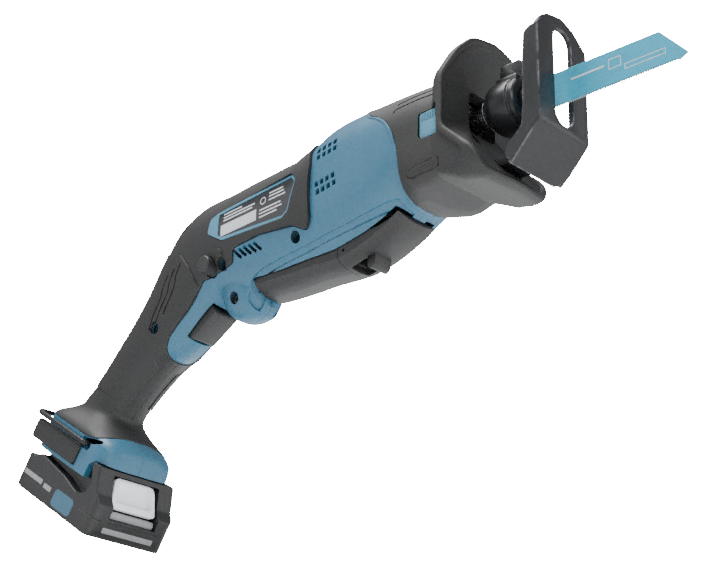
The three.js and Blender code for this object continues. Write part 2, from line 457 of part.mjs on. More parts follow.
// ---- foot: terminal block, bumpers, hook ----
add('terminal_block', boxS(-252.4, -244, -15, 15, -302.6, -291.8), DARK());
add('foot_bumper_right', bump(0, -29.6, -26.3), RUBBER());
add('foot_bumper_left', bump(0, 26.3, 29.6), RUBBER());
const hp = (s, y, h) => { const [x, z] = sh(s, h); return new THREE.Vector3(x, y, z); };
const hookPts = [hp(-205.5, -23.6, -285.5), hp(-205.5, -28.5, -285.5), hp(-206.5, -30.3, -285.4), hp(-209, -30.9, -285.3), hp(-230, -30.9, -284.4), hp(-252, -30.9, -283.2), hp(-258, -30, -282.8), hp(-262.2, -26, -282.6), hp(-263.4, -18, -282.5),
  hp(-263.4, 0, -282.5), hp(-263.4, 18, -282.5), hp(-262.2, 26, -282.6), hp(-258, 30, -282.8), hp(-252, 30.9, -283.2), hp(-230, 30.9, -284.4), hp(-209, 30.9, -285.3), hp(-206.5, 30.3, -285.4), hp(-205.5, 28.5, -285.5), hp(-205.5, 23.6, -285.5)];
add('hook_bail', wire(new THREE.CatmullRomCurve3(hookPts, false, 'centripetal'), 1.45, 50, 6), DARK());

// ---- battery ----
const B = BAT;
const tub = plateS([[B.s0 + 6, B.h0], [B.s1 - 1.2, B.h0], [B.s1, B.h0 + 1.5], [B.s1, -319.7], [B.s0, -319.7], [B.s0, B.h0 + 6]], -B.w, B.w)
  .subtract(boxS(-250.6, -180.6, -27.9, 27.9, B.h0 + 1.3, -300));
add('battery_case', tub, DARK());
let lid = plateS([[B.s0, -319.3], [B.s1, -319.3], [B.s1, -310], [-176.5, -306.5], [-185.6, -292], [-242, -292], [-242, B.h1], [B.s0 + 4, B.h1], [B.s0, B.h1 - 4]], -B.w, B.w)
  .subtract(boxS(-250.6, -180.6, -27.9, 27.9, -325, -310.6));
lid = lid.subtract(boxS(-262, -193, -40, -23, -309, -280)).subtract(boxS(-262, -193, 23, 40, -309, -280))
  .subtract(boxS(-239.6, -196, -20, 20, -320, -294));
// pocket in the slanted front for the release button
const btnPocket = plateS([[-160, -320], [-160, -290], [-189, -290], [-189, -296], [-182.3, -310.3], [-177.3, -313.8]], -17, 17);
lid = lid.subtract(btnPocket.intersect(boxS(-189, -160, -20, 20, -314.6, -295)));
add('battery_lid', lid, DARK());
add('battery_button', plateS([[-186.6, -295.8], [-184.2, -295.6], [-176, -308.8], [-173.2, -311.4], [-176.6, -312.9], [-179.8, -310.4]], -16.5, 16.5), WHITE());
for (let i = -1; i <= 1; i++) {
  const [x, z] = sh(-215.6, -319.9);
  const g = new THREE.CylinderGeometry(9.1, 9.1, 65, 20); g.rotateZ(Math.PI / 2); g.rotateY(BAT_ANGLE * RAD); g.translate(x, i * 18.5, z);
  add('battery_cell_' + (i + 2), solidOf(g), BLUE());
}
add('battery_terminals', boxS(-243.4, -242.3, -12, 12, -302, -296), COPPER());

// name plates in shallow seats on the grip skin, one a side
const plate = [[-226, -11.3], [-166, -6.3], [-162.5, -10.4], [-168.3, -26.8], [-172.5, -29], [-222, -27.3], [-233, -20.6], [-231.5, -13]];
const plateShell = ringSolid(BODY.slice(7, 15).map((q) => section([q[0], q[1], q[2], q[3] + 1.5, q[4] + 1.5, q[5] + 1.5, q[6]], KB)))
  .subtract(ringSolid(BODY.slice(6, 16).map((q) => section([q[0], q[1], q[2], q[3] + 0.35, q[4] + 0.35, q[5] + 0.35, q[6]], KB))));
add('name_plate_right', plateShell.intersect(plateY(plate, -40, -10)), BLUE());
add('name_plate_left', plateShell.intersect(plateY(plate, 10, 40)), BLUE());

if (total > 25000) console.error('triangles', total);
export default group;
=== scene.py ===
import json
import math
import bmesh
import bpy
import numpy as np
from mathutils import Matrix, Vector
from mathutils.bvhtree import BVHTree

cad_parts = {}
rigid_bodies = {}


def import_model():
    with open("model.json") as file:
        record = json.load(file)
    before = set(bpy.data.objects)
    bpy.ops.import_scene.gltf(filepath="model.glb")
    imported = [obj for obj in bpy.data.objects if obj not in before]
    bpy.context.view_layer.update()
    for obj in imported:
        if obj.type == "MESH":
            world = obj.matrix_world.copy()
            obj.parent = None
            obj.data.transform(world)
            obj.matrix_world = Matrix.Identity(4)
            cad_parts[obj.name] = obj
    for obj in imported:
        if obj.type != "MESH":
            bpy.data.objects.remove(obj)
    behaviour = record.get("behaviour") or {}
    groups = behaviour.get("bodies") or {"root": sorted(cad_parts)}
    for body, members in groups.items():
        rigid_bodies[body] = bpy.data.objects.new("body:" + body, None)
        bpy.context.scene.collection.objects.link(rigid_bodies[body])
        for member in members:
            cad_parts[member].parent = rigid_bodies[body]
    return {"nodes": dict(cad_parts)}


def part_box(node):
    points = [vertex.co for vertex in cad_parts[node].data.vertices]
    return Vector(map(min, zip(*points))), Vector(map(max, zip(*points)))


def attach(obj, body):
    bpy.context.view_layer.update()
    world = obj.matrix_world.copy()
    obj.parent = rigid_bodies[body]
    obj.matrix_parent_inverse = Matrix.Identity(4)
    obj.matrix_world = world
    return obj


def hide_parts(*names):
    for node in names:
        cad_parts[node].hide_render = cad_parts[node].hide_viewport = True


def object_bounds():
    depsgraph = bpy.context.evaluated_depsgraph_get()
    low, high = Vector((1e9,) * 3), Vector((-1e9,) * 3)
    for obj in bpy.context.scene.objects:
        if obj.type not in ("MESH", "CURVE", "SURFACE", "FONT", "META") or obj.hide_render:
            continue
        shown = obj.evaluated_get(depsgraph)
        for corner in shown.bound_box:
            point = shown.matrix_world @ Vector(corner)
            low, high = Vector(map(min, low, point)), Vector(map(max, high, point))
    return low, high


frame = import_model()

cad_lo, cad_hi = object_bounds()

# ---------------------------------------------------------------- frame
# Shapes are drawn in millimetres in the tool's own frame: +X to the blade tip, +Y left, +Z up,
# origin where the blade's centre line meets the shoe's front face.
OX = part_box("shoe")[1].x * 1000.0
_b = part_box("plunger_bush")
OZ = (_b[0].z + _b[1].z) * 500.0
OFF = np.array([OX, 0.0, OZ])
BAT = math.radians(32.8)
CU, SU = math.cos(BAT), math.sin(BAT)


def sh(s, h):
    return (s * CU + h * SU, -s * SU + h * CU)


# ---------------------------------------------------------------- camera
def make_camera():
    az, el, roll, f = math.radians(42.67), math.radians(-23.35), math.radians(0.98), 1768.0
    back = np.array([math.sin(az) * math.cos(el), -math.cos(az) * math.cos(el), math.sin(el)])
    right = np.cross([0, 0, 1], back)
    right /= np.linalg.norm(right)
    up = np.cross(back, right)
    c, s = math.cos(roll), math.sin(roll)
    R = np.array([c * right + s * up, -s * right + c * up, back])
    D = 902.0
    t = np.array([(563.6 - 350.5) * D / f, -(87.9 - 283.5) * D / f, -D])
    C = (-R.T @ t + OFF) / 1000.0
    cam = bpy.data.cameras.new("camera")
    cam.sensor_fit = "HORIZONTAL"
    cam.sensor_width = 36.0
    cam.lens = 1768.0 / 701.0 * 36.0
    cam.clip_start, cam.clip_end = 0.05, 20.0
    o = bpy.data.objects.new("camera", cam)
    m = Matrix.Identity(4)
    for i in range(3):
        for j in range(3):
            m[i][j] = R[j][i]
        m[i][3] = C[i]
    o.matrix_world = m
    bpy.context.scene.collection.objects.link(o)
    bpy.context.scene.camera = o


make_camera()

# ---------------------------------------------------------------- solids (mm, tool frame)
_tmp = [0]


def _obj(verts, faces):
    _tmp[0] += 1
    me = bpy.data.meshes.new("tmp%d" % _tmp[0])
    me.from_pydata([tuple(map(float, v)) for v in verts], [], [tuple(map(int, f)) for f in faces])
    me.update()
    o = bpy.data.objects.new("tmp%d" % _tmp[0], me)
    bpy.context.scene.collection.objects.link(o)
    return o


def _volume(verts, faces):
    v = np.asarray(verts, float)
    s = 0.0
    for f in faces:
        for i in range(1, len(f) - 1):
            s += np.dot(v[f[0]], np.cross(v[f[i]], v[f[i + 1]]))
    return s


def solid(verts, faces):
    verts = np.asarray(verts, float)
    if _volume(verts, faces[:: max(1, len(faces) // 4000)] if len(faces) > 20000 else faces) < 0:
        faces = [tuple(reversed(f)) for f in faces]
    return _obj(verts, faces)


def rings(rs, closed=False):
    """Solid through rings of equal length; closed joins the last ring to the first, else flat ends."""
    rs = [np.asarray(r, float) for r in rs]
    K, N = len(rs[0]), len(rs)
    verts = np.concatenate(rs)
    faces = []
    for i in range(N if closed else N - 1):
        a, b = i * K, ((i + 1) % N) * K
        for k in range(K):
            j = (k + 1) % K
            faces.append((a + k, a + j, b + j, b + k))
    if not closed:
        n = len(verts)
        verts = np.vstack([verts, rs[0].mean(0), rs[-1].mean(0)])
        for k in range(K):
            j = (k + 1) % K
            faces.append((n, j, k))
            faces.append((n + 1, (N - 1) * K + k, (N - 1) * K + j))
    # orientation from the signed volume
    v = verts
    tri = []
    for f in faces:
        tri.append((f[0], f[1], f[2]))
        if len(f) == 4:
            tri.append((f[0], f[2], f[3]))
    tri = np.array(tri)
    vol = np.einsum("ij,ij->i", v[tri[:, 0]], np.cross(v[tri[:, 1]], v[tri[:, 2]])).sum()
    if vol < 0:
        faces = [tuple(reversed(f)) for f in faces]
    return _obj(verts, faces)


def prism(pts, y0, y1):
    """Outline in the X-Z plane, thick along Y."""
    n = len(pts)
    v = [(x, y0, z) for x, z in pts] + [(x, y1, z) for x, z in pts]
    f = [tuple(range(n)), tuple(reversed(range(n, 2 * n)))]
    for i in range(n):
        j = (i + 1) % n
        f.append((i, i + n, j + n, j))
    v = np.array(v, float)
    a = sum(pts[i][0] * pts[(i + 1) % n][1] - pts[(i + 1) % n][0] * pts[i][1] for i in range(n))
    if a < 0:
        f = [tuple(reversed(q)) for q in f]
    o = _obj(v, f)
    me = o.data
    return o


def prismS(pts, y0, y1):
    return prism([sh(s, h) for s, h in pts], y0, y1)


def prism_dir(pts2, origin, ax, ay, az_, lo, hi):
    """Outline in the plane (ax, ay) at origin, thick along az_ from lo to hi."""
    o_, ax, ay, az_ = (np.asarray(q, float) for q in (origin, ax, ay, az_))
    n = len(pts2)
    v = [o_ + ax * p[0] + ay * p[1] + az_ * lo for p in pts2] + [o_ + ax * p[0] + ay * p[1] + az_ * hi for p in pts2]
    f = [tuple(reversed(range(n))), tuple(range(n, 2 * n))]
    for i in range(n):
        j = (i + 1) % n
        f.append((i, j, j + n, i + n))
    a = sum(pts2[i][0] * pts2[(i + 1) % n][1] - pts2[(i + 1) % n][0] * pts2[i][1] for i in range(n))
    if a * np.dot(np.cross(ax, ay), az_) < 0:
        f = [tuple(reversed(q)) for q in f]
    return _obj(np.array(v), f)


def boxm(x0, x1, y0, y1, z0, z1):
    return prism([(x0, z0), (x1, z0), (x1, z1), (x0, z1)], y0, y1)


def boxS(s0, s1, y0, y1, h0, h1):
    return prismS([(s0, h0), (s1, h0), (s1, h1), (s0, h1)], y0, y1)


def lathe(axis, centre, prof, K=48):
    """Solid of revolution: prof is [(along, radius)...] from one end to the other; axis 0, 1 or 2."""
    rs = []
    a = np.arange(K) * 2 * math.pi / K
    c = np.asarray(centre, float)
    e = [i for i in range(3) if i != axis]
    for u, r in prof:
        p = np.zeros((K, 3))
        p[:, axis] = u
        p[:, e[0]] = np.cos(a) * max(r, 1e-3)
        p[:, e[1]] = np.sin(a) * max(r, 1e-3)
        rs.append(p + c)
    return rings(rs)


def cyl(axis, r, lo, hi, centre, K=32):
    return lathe(axis, centre, [(lo, r), (hi, r)], K)


def ops(a, *steps):
    """Booleans on a: steps are (letter, solid); + joins, - cuts, & keeps the common part. The operands are used up."""
    kinds = {"+": "UNION", "-": "DIFFERENCE", "&": "INTERSECT"}
    used = []
    for k, b in steps:
        if b is None:
            continue
        m = a.modifiers.new("b", "BOOLEAN")
        m.operation = kinds[k]
        m.object = b
        m.solver = "MANIFOLD"
        used.append(b)
    bpy.context.view_layer.update()
    dg = bpy.context.evaluated_depsgraph_get()
    me = bpy.data.meshes.new_from_object(a.evaluated_get(dg))
    a.modifiers.clear()
    old = a.data
    a.data = me
    bpy.data.meshes.remove(old)
    for b in set(used):
        d = b.data
        bpy.data.objects.remove(b)
        bpy.data.meshes.remove(d)
    return a


def copy(o):
    c = bpy.data.objects.new(o.name + "c", o.data.copy())
    bpy.context.scene.collection.objects.link(c)
    return c


def drop(*os):
    for o in os:
        d = o.data
        bpy.data.objects.remove(o)
        bpy.data.meshes.remove(d)


def fillet(pts, r, n=4):
    """Polygon with its corners rounded; r is one radius or one for each corner."""
    N = len(pts)
    rr = [r] * N if np.isscalar(r) else list(r)
    out = []
    for i in range(N):
        p = np.array(pts[i], float)
        a = np.array(pts[i - 1], float)
        b = np.array(pts[(i + 1) % N], float)
        la, lb = np.linalg.norm(a - p), np.linalg.norm(b - p)
        u, v = (a - p) / la, (b - p) / lb
        ang = math.acos(max(-1, min(1, float(np.dot(u, v)))))
        if rr[i] < 1e-6 or ang > math.pi - 0.02:
            out.append(tuple(p))
            continue
        d = min(rr[i] / math.tan(ang / 2), 0.48 * la, 0.48 * lb)
        s, e = p + u * d, p + v * d
        for k in range(n + 1):
            t = k / n
            out.append(tuple((1 - t) ** 2 * s + 2 * t * (1 - t) * p + t * t * e))
    return out


def band(path, w):
    """Thin closed outline along an open path in the plane."""
    P = np.array(path, float)
    T = np.gradient(P, axis=0)
    T /= np.linalg.norm(T, axis=1)[:, None]
    Nn = np.stack([-T[:, 1], T[:, 0]], 1)
    return [tuple(q) for q in P + Nn * w / 2] + [tuple(q) for q in (P - Nn * w / 2)[::-1]]


def smooth_path(pts, n=24):
    """Catmull-Rom through points (any dimension)."""
    P = np.array(pts, float)
    Q = np.vstack([2 * P[0] - P[1], P, 2 * P[-1] - P[-2]])
    out = []
    m = len(P) - 1
    for i in range(m):
        p0, p1, p2, p3 = Q[i:i + 4]
        k = max(2, n // m)
        for t in np.arange(k) / k:
            out.append(0.5 * ((2 * p1) + (-p0 + p2) * t + (2 * p0 - 5 * p1 + 4 * p2 - p3) * t * t + (-p0 + 3 * p1 - 3 * p2 + p3) * t ** 3))
    out.append(P[-1])
    return out


def pchip(x, y, xq):
    x, y = np.asarray(x, float), np.asarray(y, float)
    h = np.diff(x)
    d = np.diff(y) / h
    m = np.zeros_like(y)
    for i in range(1, len(x) - 1):
        if d[i - 1] * d[i] > 0:
            w1, w2 = 2 * h[i] + h[i - 1], h[i] + 2 * h[i - 1]
            m[i] = (w1 + w2) / (w1 / d[i - 1] + w2 / d[i])
    m[0], m[-1] = d[0], d[-1]
    i = np.clip(np.searchsorted(x, xq) - 1, 0, len(x) - 2)
    t = (xq - x[i]) / h[i]
    return ((2 * t ** 3 - 3 * t ** 2 + 1) * y[i] + (t ** 3 - 2 * t ** 2 + t) * h[i] * m[i]
            + (-2 * t ** 3 + 3 * t ** 2) * y[i + 1] + (t ** 3 - t ** 2) * h[i] * m[i + 1])


def sgn(v, p):
    return np.sign(v) * np.abs(v) ** p


# ---------------------------------------------------------------- the body's shape
def st(x, top, bot, w, n=2.35, c=-14):
    return [x, c, 0, top - c, c - bot, w, n]


BODY = [
    st(-74, 24, -40.2, 30, 2.4, -8.5), st(-92, 24.5, -42.3, 30.3, 2.4, -9), st(-98, 25, -46, 30.2, 2.4, -10),
    st(-106, 25.3, -50.5, 30, 2.4, -11.5), st(-118, 25.6, -55, 29.7, 2.4, -13), st(-130, 25.6, -58.5, 29.3),
    st(-142, 23.8, -61, 28.8), st(-150, 20.2, -61.8, 28.3), st(-158, 15.2, -62, 27.8), st(-168, 12.0, -62.2, 27.3, 2.35, -16),
    st(-185, 11.0, -62.4, 27, 2.35, -18), st(-205, 10.0, -61.5, 26.5, 2.35, -19), st(-222, 8.8, -58.5, 26, 2.3, -20),
    [-240, -22, 8, 30.8, 34, 25, 2.25], [-256, -29, 20, 33, 32, 23.6, 2.2], [-269, -39, 32, 28.2, 30.5, 22, 2.15],
    [-282.4, -51.8, 40, 22.6, 28.8, 20.5, 2.1], [-292, -60, 40, 20.6, 26, 19.2, 2.1], [-299, -66, 40, 19.4, 21.5, 18.5, 2.1],
    [-307, -72.6, 40, 18.3, 18.6, 18, 2.1], [-322, -85, 41, 16.7, 17, 16.8, 2.1], [-332, -93.8, 44, 16, 16.6, 16.4, 2.15],
]
FOOT = [[-268.5, -248, -211, 17.6, 2.3], [-273, -252, -201, 20.5, 2.6], [-276.5, -255, -192.5, 24.3, 3.2],
        [-279.5, -256.5, -188, 26.8, 4.2], [-283, -257, -185.5, 27.9, 5], [-291, -257, -184, 28.2, 5.2], [-304.5, -256, -183, 28.2, 5.2]]
SP = [list(q) for q in BODY]
for h, sb, sf, w, n in FOOT:
    x, z = sh((sb + sf) / 2, h)
    SP.append([x, z, 90 - 32.8, (sf - sb) / 2, (sf - sb) / 2, w, n])
SP = np.array(SP)
_d = np.r_[0, np.cumsum(np.linalg.norm(np.diff(SP[:, :2], axis=0), axis=1))]


def section(q, K, inset, c=None, s=None):
    cx, cz, psi, a, b, w, n = q
    t = 2 * math.pi * (np.arange(K) + 0.5) / K
    ps = math.radians(psi)
    y = (w - inset) * sgn(np.cos(t), 2 / n)
    v = np.where(np.sin(t) > 0, a - inset, b - inset) * sgn(np.sin(t), 2 / n)
    return np.stack([cx - v * math.sin(ps), y, cz + v * math.cos(ps)], 1)


def spine(inset=0.0, K=144, step=2.0, d0=None, d1=None):
    d0 = _d[0] if d0 is None else d0
    d1 = _d[-1] if d1 is None else d1
    q = np.unique(np.r_[np.arange(d0, d1, step), d1, [v for v in _d if d0 <= v <= d1]])
    q = q[np.r_[True, np.diff(q) > 0.4]]
    S = np.stack([pchip(_d, SP[:, k], q) for k in range(7)], 1)
    return rings([section(r, K, inset) for r in S])


LOBE = [[-40, 18, 18, -221], [-46, 18.2, 17.4, -221], [-52, 18.2, 16.5, -221], [-57, 17.7, 15.8, -221], [-61, 16.6, 14.6, -220.9], [-65, 14.6, 12.9, -220.4],
        [-68, 12, 10.7, -219.8], [-70.2, 8.6, 7.7, -219.2], [-71.3, 5.2, 4.6, -218.8], [-71.7, 2.2, 2, -218.6]]


def lobe(inset=0.0, K=64):
    L = np.array(LOBE)
    zq = np.linspace(0, len(L) - 1, 40)
    out = []
    for u in zq:
        i = min(int(u), len(L) - 2)
        f = u - i
        z, hl, w, cx = L[i] * (1 - f) + L[i + 1] * f
        t = 2 * math.pi * np.arange(K) / K
        f_in = inset * min(1.0, u / 3.0)
        out.append(np.stack([cx + max(hl - inset, 0.5) * sgn(np.cos(t), 0.85), max(w - inset, 0.5) * sgn(np.sin(t), 0.85), np.full(K, z + f_in)], 1))
    return rings(out)


def body(inset=0.0, K=144, step=2.0):
    return ops(spine(inset, K, step), ("+", lobe(inset)))


FRONT = [(-128, 60), (-119, 27), (-110.6, 13.6), (-102.5, 8.4), (-94.5, 1.8), (-89.6, -6.7), (-87.2, -15), (-86.3, -22.5), (-86.9, -31), (-88.4, -36.8), (-90.5, -42), (-92.5, -60)]
_F = [(-128, 60)] + [tuple(p) for p in smooth_path(FRONT[1:-1], 40)] + [(-92.5, -60)]
GRIP = [(-157, 60), (-155.5, 18), (-150.5, -5), (-151.7, -36), (-155, -42.3), (-166, -36.5), (-192, -34.2), (-213.4, -35.8), (-215.4, -43.4), (-222, -44.5),
        (-243, -46), (-247, -49.4), (-258, -58.6), (-275.5, -71.3), (-279.5, -76), (-282, -81), (-276, -93), sh(-196.5, -255), sh(-196.5, -277),
        sh(-201, -280.3), sh(-208, -281.6), sh(-275, -281.6), (-420, -60), (-420, 60)]
GRIP_R = [0, 6, 3, 3.5, 4, 5, 8, 3, 3, 4, 4, 4, 10, 8, 3, 3, 0, 0, 3, 3, 5, 0, 0, 0]


def offset_poly(pts, d):
    n = len(pts)
    P = [np.array(p, float) for p in pts]
    area = sum(P[i][0] * P[(i + 1) % n][1] - P[(i + 1) % n][0] * P[i][1] for i in range(n))
    s = 1 if area > 0 else -1
    out = []
    for i in range(n):
        u = P[i] - P[i - 1]
        v = P[(i + 1) % n] - P[i]
        lu, lv = np.linalg.norm(u), np.linalg.norm(v)
        u = u / lu if lu > 1e-9 else v / lv
        v = v / lv if lv > 1e-9 else u
        m = np.array([-(u[1] + v[1]), u[0] + v[0]])
        m /= np.linalg.norm(m) + 1e-9
        out.append(tuple(P[i] + m * s * d))
    return out


gp = fillet(GRIP, GRIP_R, 5)
SCREWS = [(-165.5, -42.5, 21), (-222, -60.5, 12), (-224.5, -41.5, 20), (-262, -6, 12), (-284, -64.5, 15)]
LOCK = (-234.5, -40.5)
LEVW = 15.2
PIV = (-208.5, -53.4)
SEAM = 0.11


def half(side):
    return boxm(-500, 120, -90, -SEAM, -400, 120) if side < 0 else boxm(-500, 120, SEAM, 90, -400, 120)


def lever_cut():
    return ops(prism(fillet([(-96.8, -66), (-96.8, -43), (-101, -40), (-130, -40), (-206.2, -46.5), (-206.2, -66)], [0, 1, 1, 1, 1, 0], 3), -16.0, 16.0),
               ("+", boxm(-214, -203, -8.8, 8.8, -59, -46)))


def trig_cut():
    return prism(fillet([(-238.8, -65.2), (-261.1, -78.9), (-273.1, -58.4), (-250.6, -44.7)], [0, 0, 1.5, 1.5], 3), -9.8, 9.8)


def bore_cutter():
    o = None
    for x, z, y in SCREWS:
        c = ops(cyl(1, 3.4, -45, -9, (x, 0, z), 28), ("+", cyl(1, 1.9, -10, 12, (x, 0, z), 20)))
        o = c if o is None else ops(o, ("+", c))
    return o


def join_all(objs):
    """One mesh holding several separate closed solids that don't touch."""
    V, F, n = [], [], 0
    for o in objs:
        me = o.data
        V += [tuple(v.co) for v in me.vertices]
        F += [tuple(i + n for i in p.vertices) for p in me.polygons]
        n = len(V)
    drop(*objs)
    return _obj(V, F)


def vents(side):
    cs = []
    y0, y1 = (-45, -17) if side < 0 else (17, 45)
    for i in range(4):
        for zt, slope in ((3.9, 0.19), (-17.6, 0.19)):
            for j in range(2):
                x = -146.6 + i * 4.2 + j * 0.9 + (0.6 if zt < 0 else 0)
                z = zt + (i - 1.5) * 0.45 - j * 4.7
                cs.append(prism(fillet([(x - 1.45, z - 1.85), (x + 1.45, z - 1.5), (x + 1.2, z + 1.85), (x - 1.65, z + 1.5)], 0.4, 2), y0, y1))
    for i in range(5):
        x = -211.6 + i * 4.1
        mid = [(x - 2.2, -36.6), (x - 0.6, -38.2), (x + 1.2, -40.4), (x + 3.6, -42.4)]
        cs.append(prism(band(smooth_path(mid, 9), 1.9), -45 if side < 0 else 13, -13 if side < 0 else 45))
    return join_all(cs)


def soften(o, voxel, times):
    """Remesh and relax, so that every edge is a soft moulded one."""
    m = o.modifiers.new("r", "REMESH")
    m.mode = "VOXEL"
    m.voxel_size = voxel * 1.0
    m = o.modifiers.new("s", "SMOOTH")
    m.factor = 0.5
    m.iterations = times
    return ops(o)


def groove(path, w, depth, side, surf, y_in=5):
    """A cutter for a groove of this depth along a side-view path: surf(depth) is the body drawn in."""
    y0, y1 = (-60, -y_in) if side < 0 else (y_in, 60)
    return ops(prism(band(path, w), y0, y1), ("-", surf(depth)))


RIDGE = [(-95, -39.3), (-100.3, -39.9), (-110.4, -42.1), (-125, -44.6), (-148.2, -47.2), (-164.2, -48.5), (-180, -49.8), (-192, -51.0), (-199, -52.2), (-205, -53.9), (-209, -56.3), (-211.6, -59.4), (-213, -64)]
RIDGE2 = [(-97.5, -42.4), (-104, -43.8), (-112, -45.3), (-125, -47.4), (-148, -50.0), (-164, -51.3), (-180, -52.6), (-190, -53.7), (-197, -55.2), (-202, -57.3), (-205.3, -60.2), (-207, -65)]

# ---------------------------------------------------------------- materials
def nt(name):
    m = bpy.data.materials.new(name)
    m.use_nodes = True
    t = m.node_tree
    t.nodes.clear()
    return m, t


class G:
    """Small helper for node graphs."""

    def __init__(self, tree):
        self.t = tree

    def n(self, kind, **kw):
        x = self.t.nodes.new(kind)
        for k, v in kw.items():
            if k.startswith("in_"):
                x.inputs[k[3:].replace("_", " ")].default_value = v
            else:
                setattr(x, k, v)
        return x

    def l(self, a, b):
        self.t.links.new(a, b)


def surface(name, dark, light, rough=(0.4, 0.55), metallic=0.0, grain=1600.0, bump=0.12, dist=0.00012, large=35.0,
            wear_and_glint=None, wear_and_glint_amt=0.35, bevel=0.0005, coat=0.0, aniso=None, dirt=0.25, spec=0.5, scratch=0.0, grain2=None, streak=None):
    m, t = nt(name)
    g = G(t)
    out = g.n("ShaderNodeOutputMaterial")
    p = g.n("ShaderNodeBsdfPrincipled")
    p.inputs["Metallic"].default_value = metallic
    p.inputs["Specular IOR Level"].default_value = spec
    if coat:
        p.inputs["Coat Weight"].default_value = coat
        p.inputs["Coat Roughness"].default_value = 0.12
    g.l(p.outputs[0], out.inputs[0])
    co = g.n("ShaderNodeTexCoord")
    obj = co.outputs["Object"]
    # broad and fine variation of the colour
    n1 = g.n("ShaderNodeTexNoise", in_Scale=large, in_Detail=4.0, in_Roughness=0.6)
    n2 = g.n("ShaderNodeTexNoise", in_Scale=grain * 0.35, in_Detail=3.0)
    if streak:
        mp = g.n("ShaderNodeMapping")
        mp.inputs["Scale"].default_value = streak
        g.l(obj, mp.inputs[0])
        g.l(mp.outputs[0], n2.inputs["Vector"])
    else:
        g.l(obj, n2.inputs["Vector"])
    g.l(obj, n1.inputs["Vector"])
    mixn = g.n("ShaderNodeMath", operation="MULTIPLY_ADD")
    g.l(n2.outputs["Fac"], mixn.inputs[0])
    mixn.inputs[1].default_value = 0.35
    sc = g.n("ShaderNodeMath", operation="MULTIPLY")
    g.l(n1.outputs["Fac"], sc.inputs[0])
    sc.inputs[1].default_value = 0.65
    g.l(sc.outputs[0], mixn.inputs[2])
    ramp = g.n("ShaderNodeValToRGB")
    ramp.color_ramp.elements[0].position = 0.33
    ramp.color_ramp.elements[0].color = (*dark, 1)
    ramp.color_ramp.elements[1].position = 0.67
    ramp.color_ramp.elements[1].color = (*light, 1)
    g.l(mixn.outputs[0], ramp.inputs[0])
    col = ramp.outputs[0]
    geo = g.n("ShaderNodeNewGeometry")
    bev = g.n("ShaderNodeBevel", samples=4)
    bev.inputs["Radius"].default_value = bevel
    if wear_and_glint is not None:
        # edges turn lighter where the rounded normal differs from the face's: rubbed-through wear on most finishes, a
        # painted highlight along the shoe's folds
        wb = g.n("ShaderNodeBevel", samples=4)
        wb.inputs["Radius"].default_value = bevel * 1.6
        dp = g.n("ShaderNodeVectorMath", operation="DOT_PRODUCT")
        g.l(wb.outputs[0], dp.inputs[0])
        g.l(geo.outputs["Normal"], dp.inputs[1])
        mr = g.n("ShaderNodeMapRange")
        mr.inputs["From Min"].default_value = 0.995
        mr.inputs["From Max"].default_value = 0.86
        mr.inputs["To Min"].default_value = 0.0
        mr.inputs["To Max"].default_value = 1.0
        g.l(dp.outputs["Value"], mr.inputs["Value"])
        n3 = g.n("ShaderNodeTexNoise", in_Scale=220.0, in_Detail=5.0)
        g.l(obj, n3.inputs["Vector"])
        mr2 = g.n("ShaderNodeMapRange")
        mr2.inputs["From Min"].default_value = 0.42
        mr2.inputs["From Max"].default_value = 0.62
        mr2.inputs["To Max"].default_value = wear_and_glint_amt
        g.l(n3.outputs["Fac"], mr2.inputs["Value"])
        mm = g.n("ShaderNodeMath", operation="MULTIPLY")
        g.l(mr.outputs[0], mm.inputs[0])
        g.l(mr2.outputs[0], mm.inputs[1])
        mx = g.n("ShaderNodeMix", data_type="RGBA")
        g.l(mm.outputs[0], mx.inputs["Factor"])
        g.l(col, mx.inputs[6])
        mx.inputs[7].default_value = (*wear_and_glint, 1)
        col = mx.outputs[2]
    g.l(col, p.inputs["Base Color"])
    # roughness
    rr = g.n("ShaderNodeMapRange")
    rr.inputs["From Min"].default_value = 0.3
    rr.inputs["From Max"].default_value = 0.7
    rr.inputs["To Min"].default_value = rough[0]
    rr.inputs["To Max"].default_value = rough[1]
    g.l(mixn.outputs[0], rr.inputs["Value"])
    g.l(rr.outputs[0], p.inputs["Roughness"])
    # moulded grain
    n4 = g.n("ShaderNodeTexNoise", in_Scale=grain, in_Detail=2.0)
    if streak:
        g.l(mp.outputs[0], n4.inputs["Vector"])
    else:
        g.l(obj, n4.inputs["Vector"])
    b1 = g.n("ShaderNodeBump", in_Strength=bump, in_Distance=dist)
    g.l(n4.outputs["Fac"], b1.inputs["Height"])
    g.l(bev.outputs[0], b1.inputs["Normal"])
    last = b1
    if grain2:
        n5 = g.n("ShaderNodeTexVoronoi", in_Scale=grain2)
        g.l(obj, n5.inputs["Vector"])
        b2 = g.n("ShaderNodeBump", in_Strength=bump * 0.8, in_Distance=dist * 1.2)
        g.l(n5.outputs["Distance"], b2.inputs["Height"])
        g.l(b1.outputs[0], b2.inputs["Normal"])
        last = b2
    g.l(last.outputs[0], p.inputs["Normal"])
    if aniso:
        p.inputs["Anisotropic"].default_value = aniso
    return m


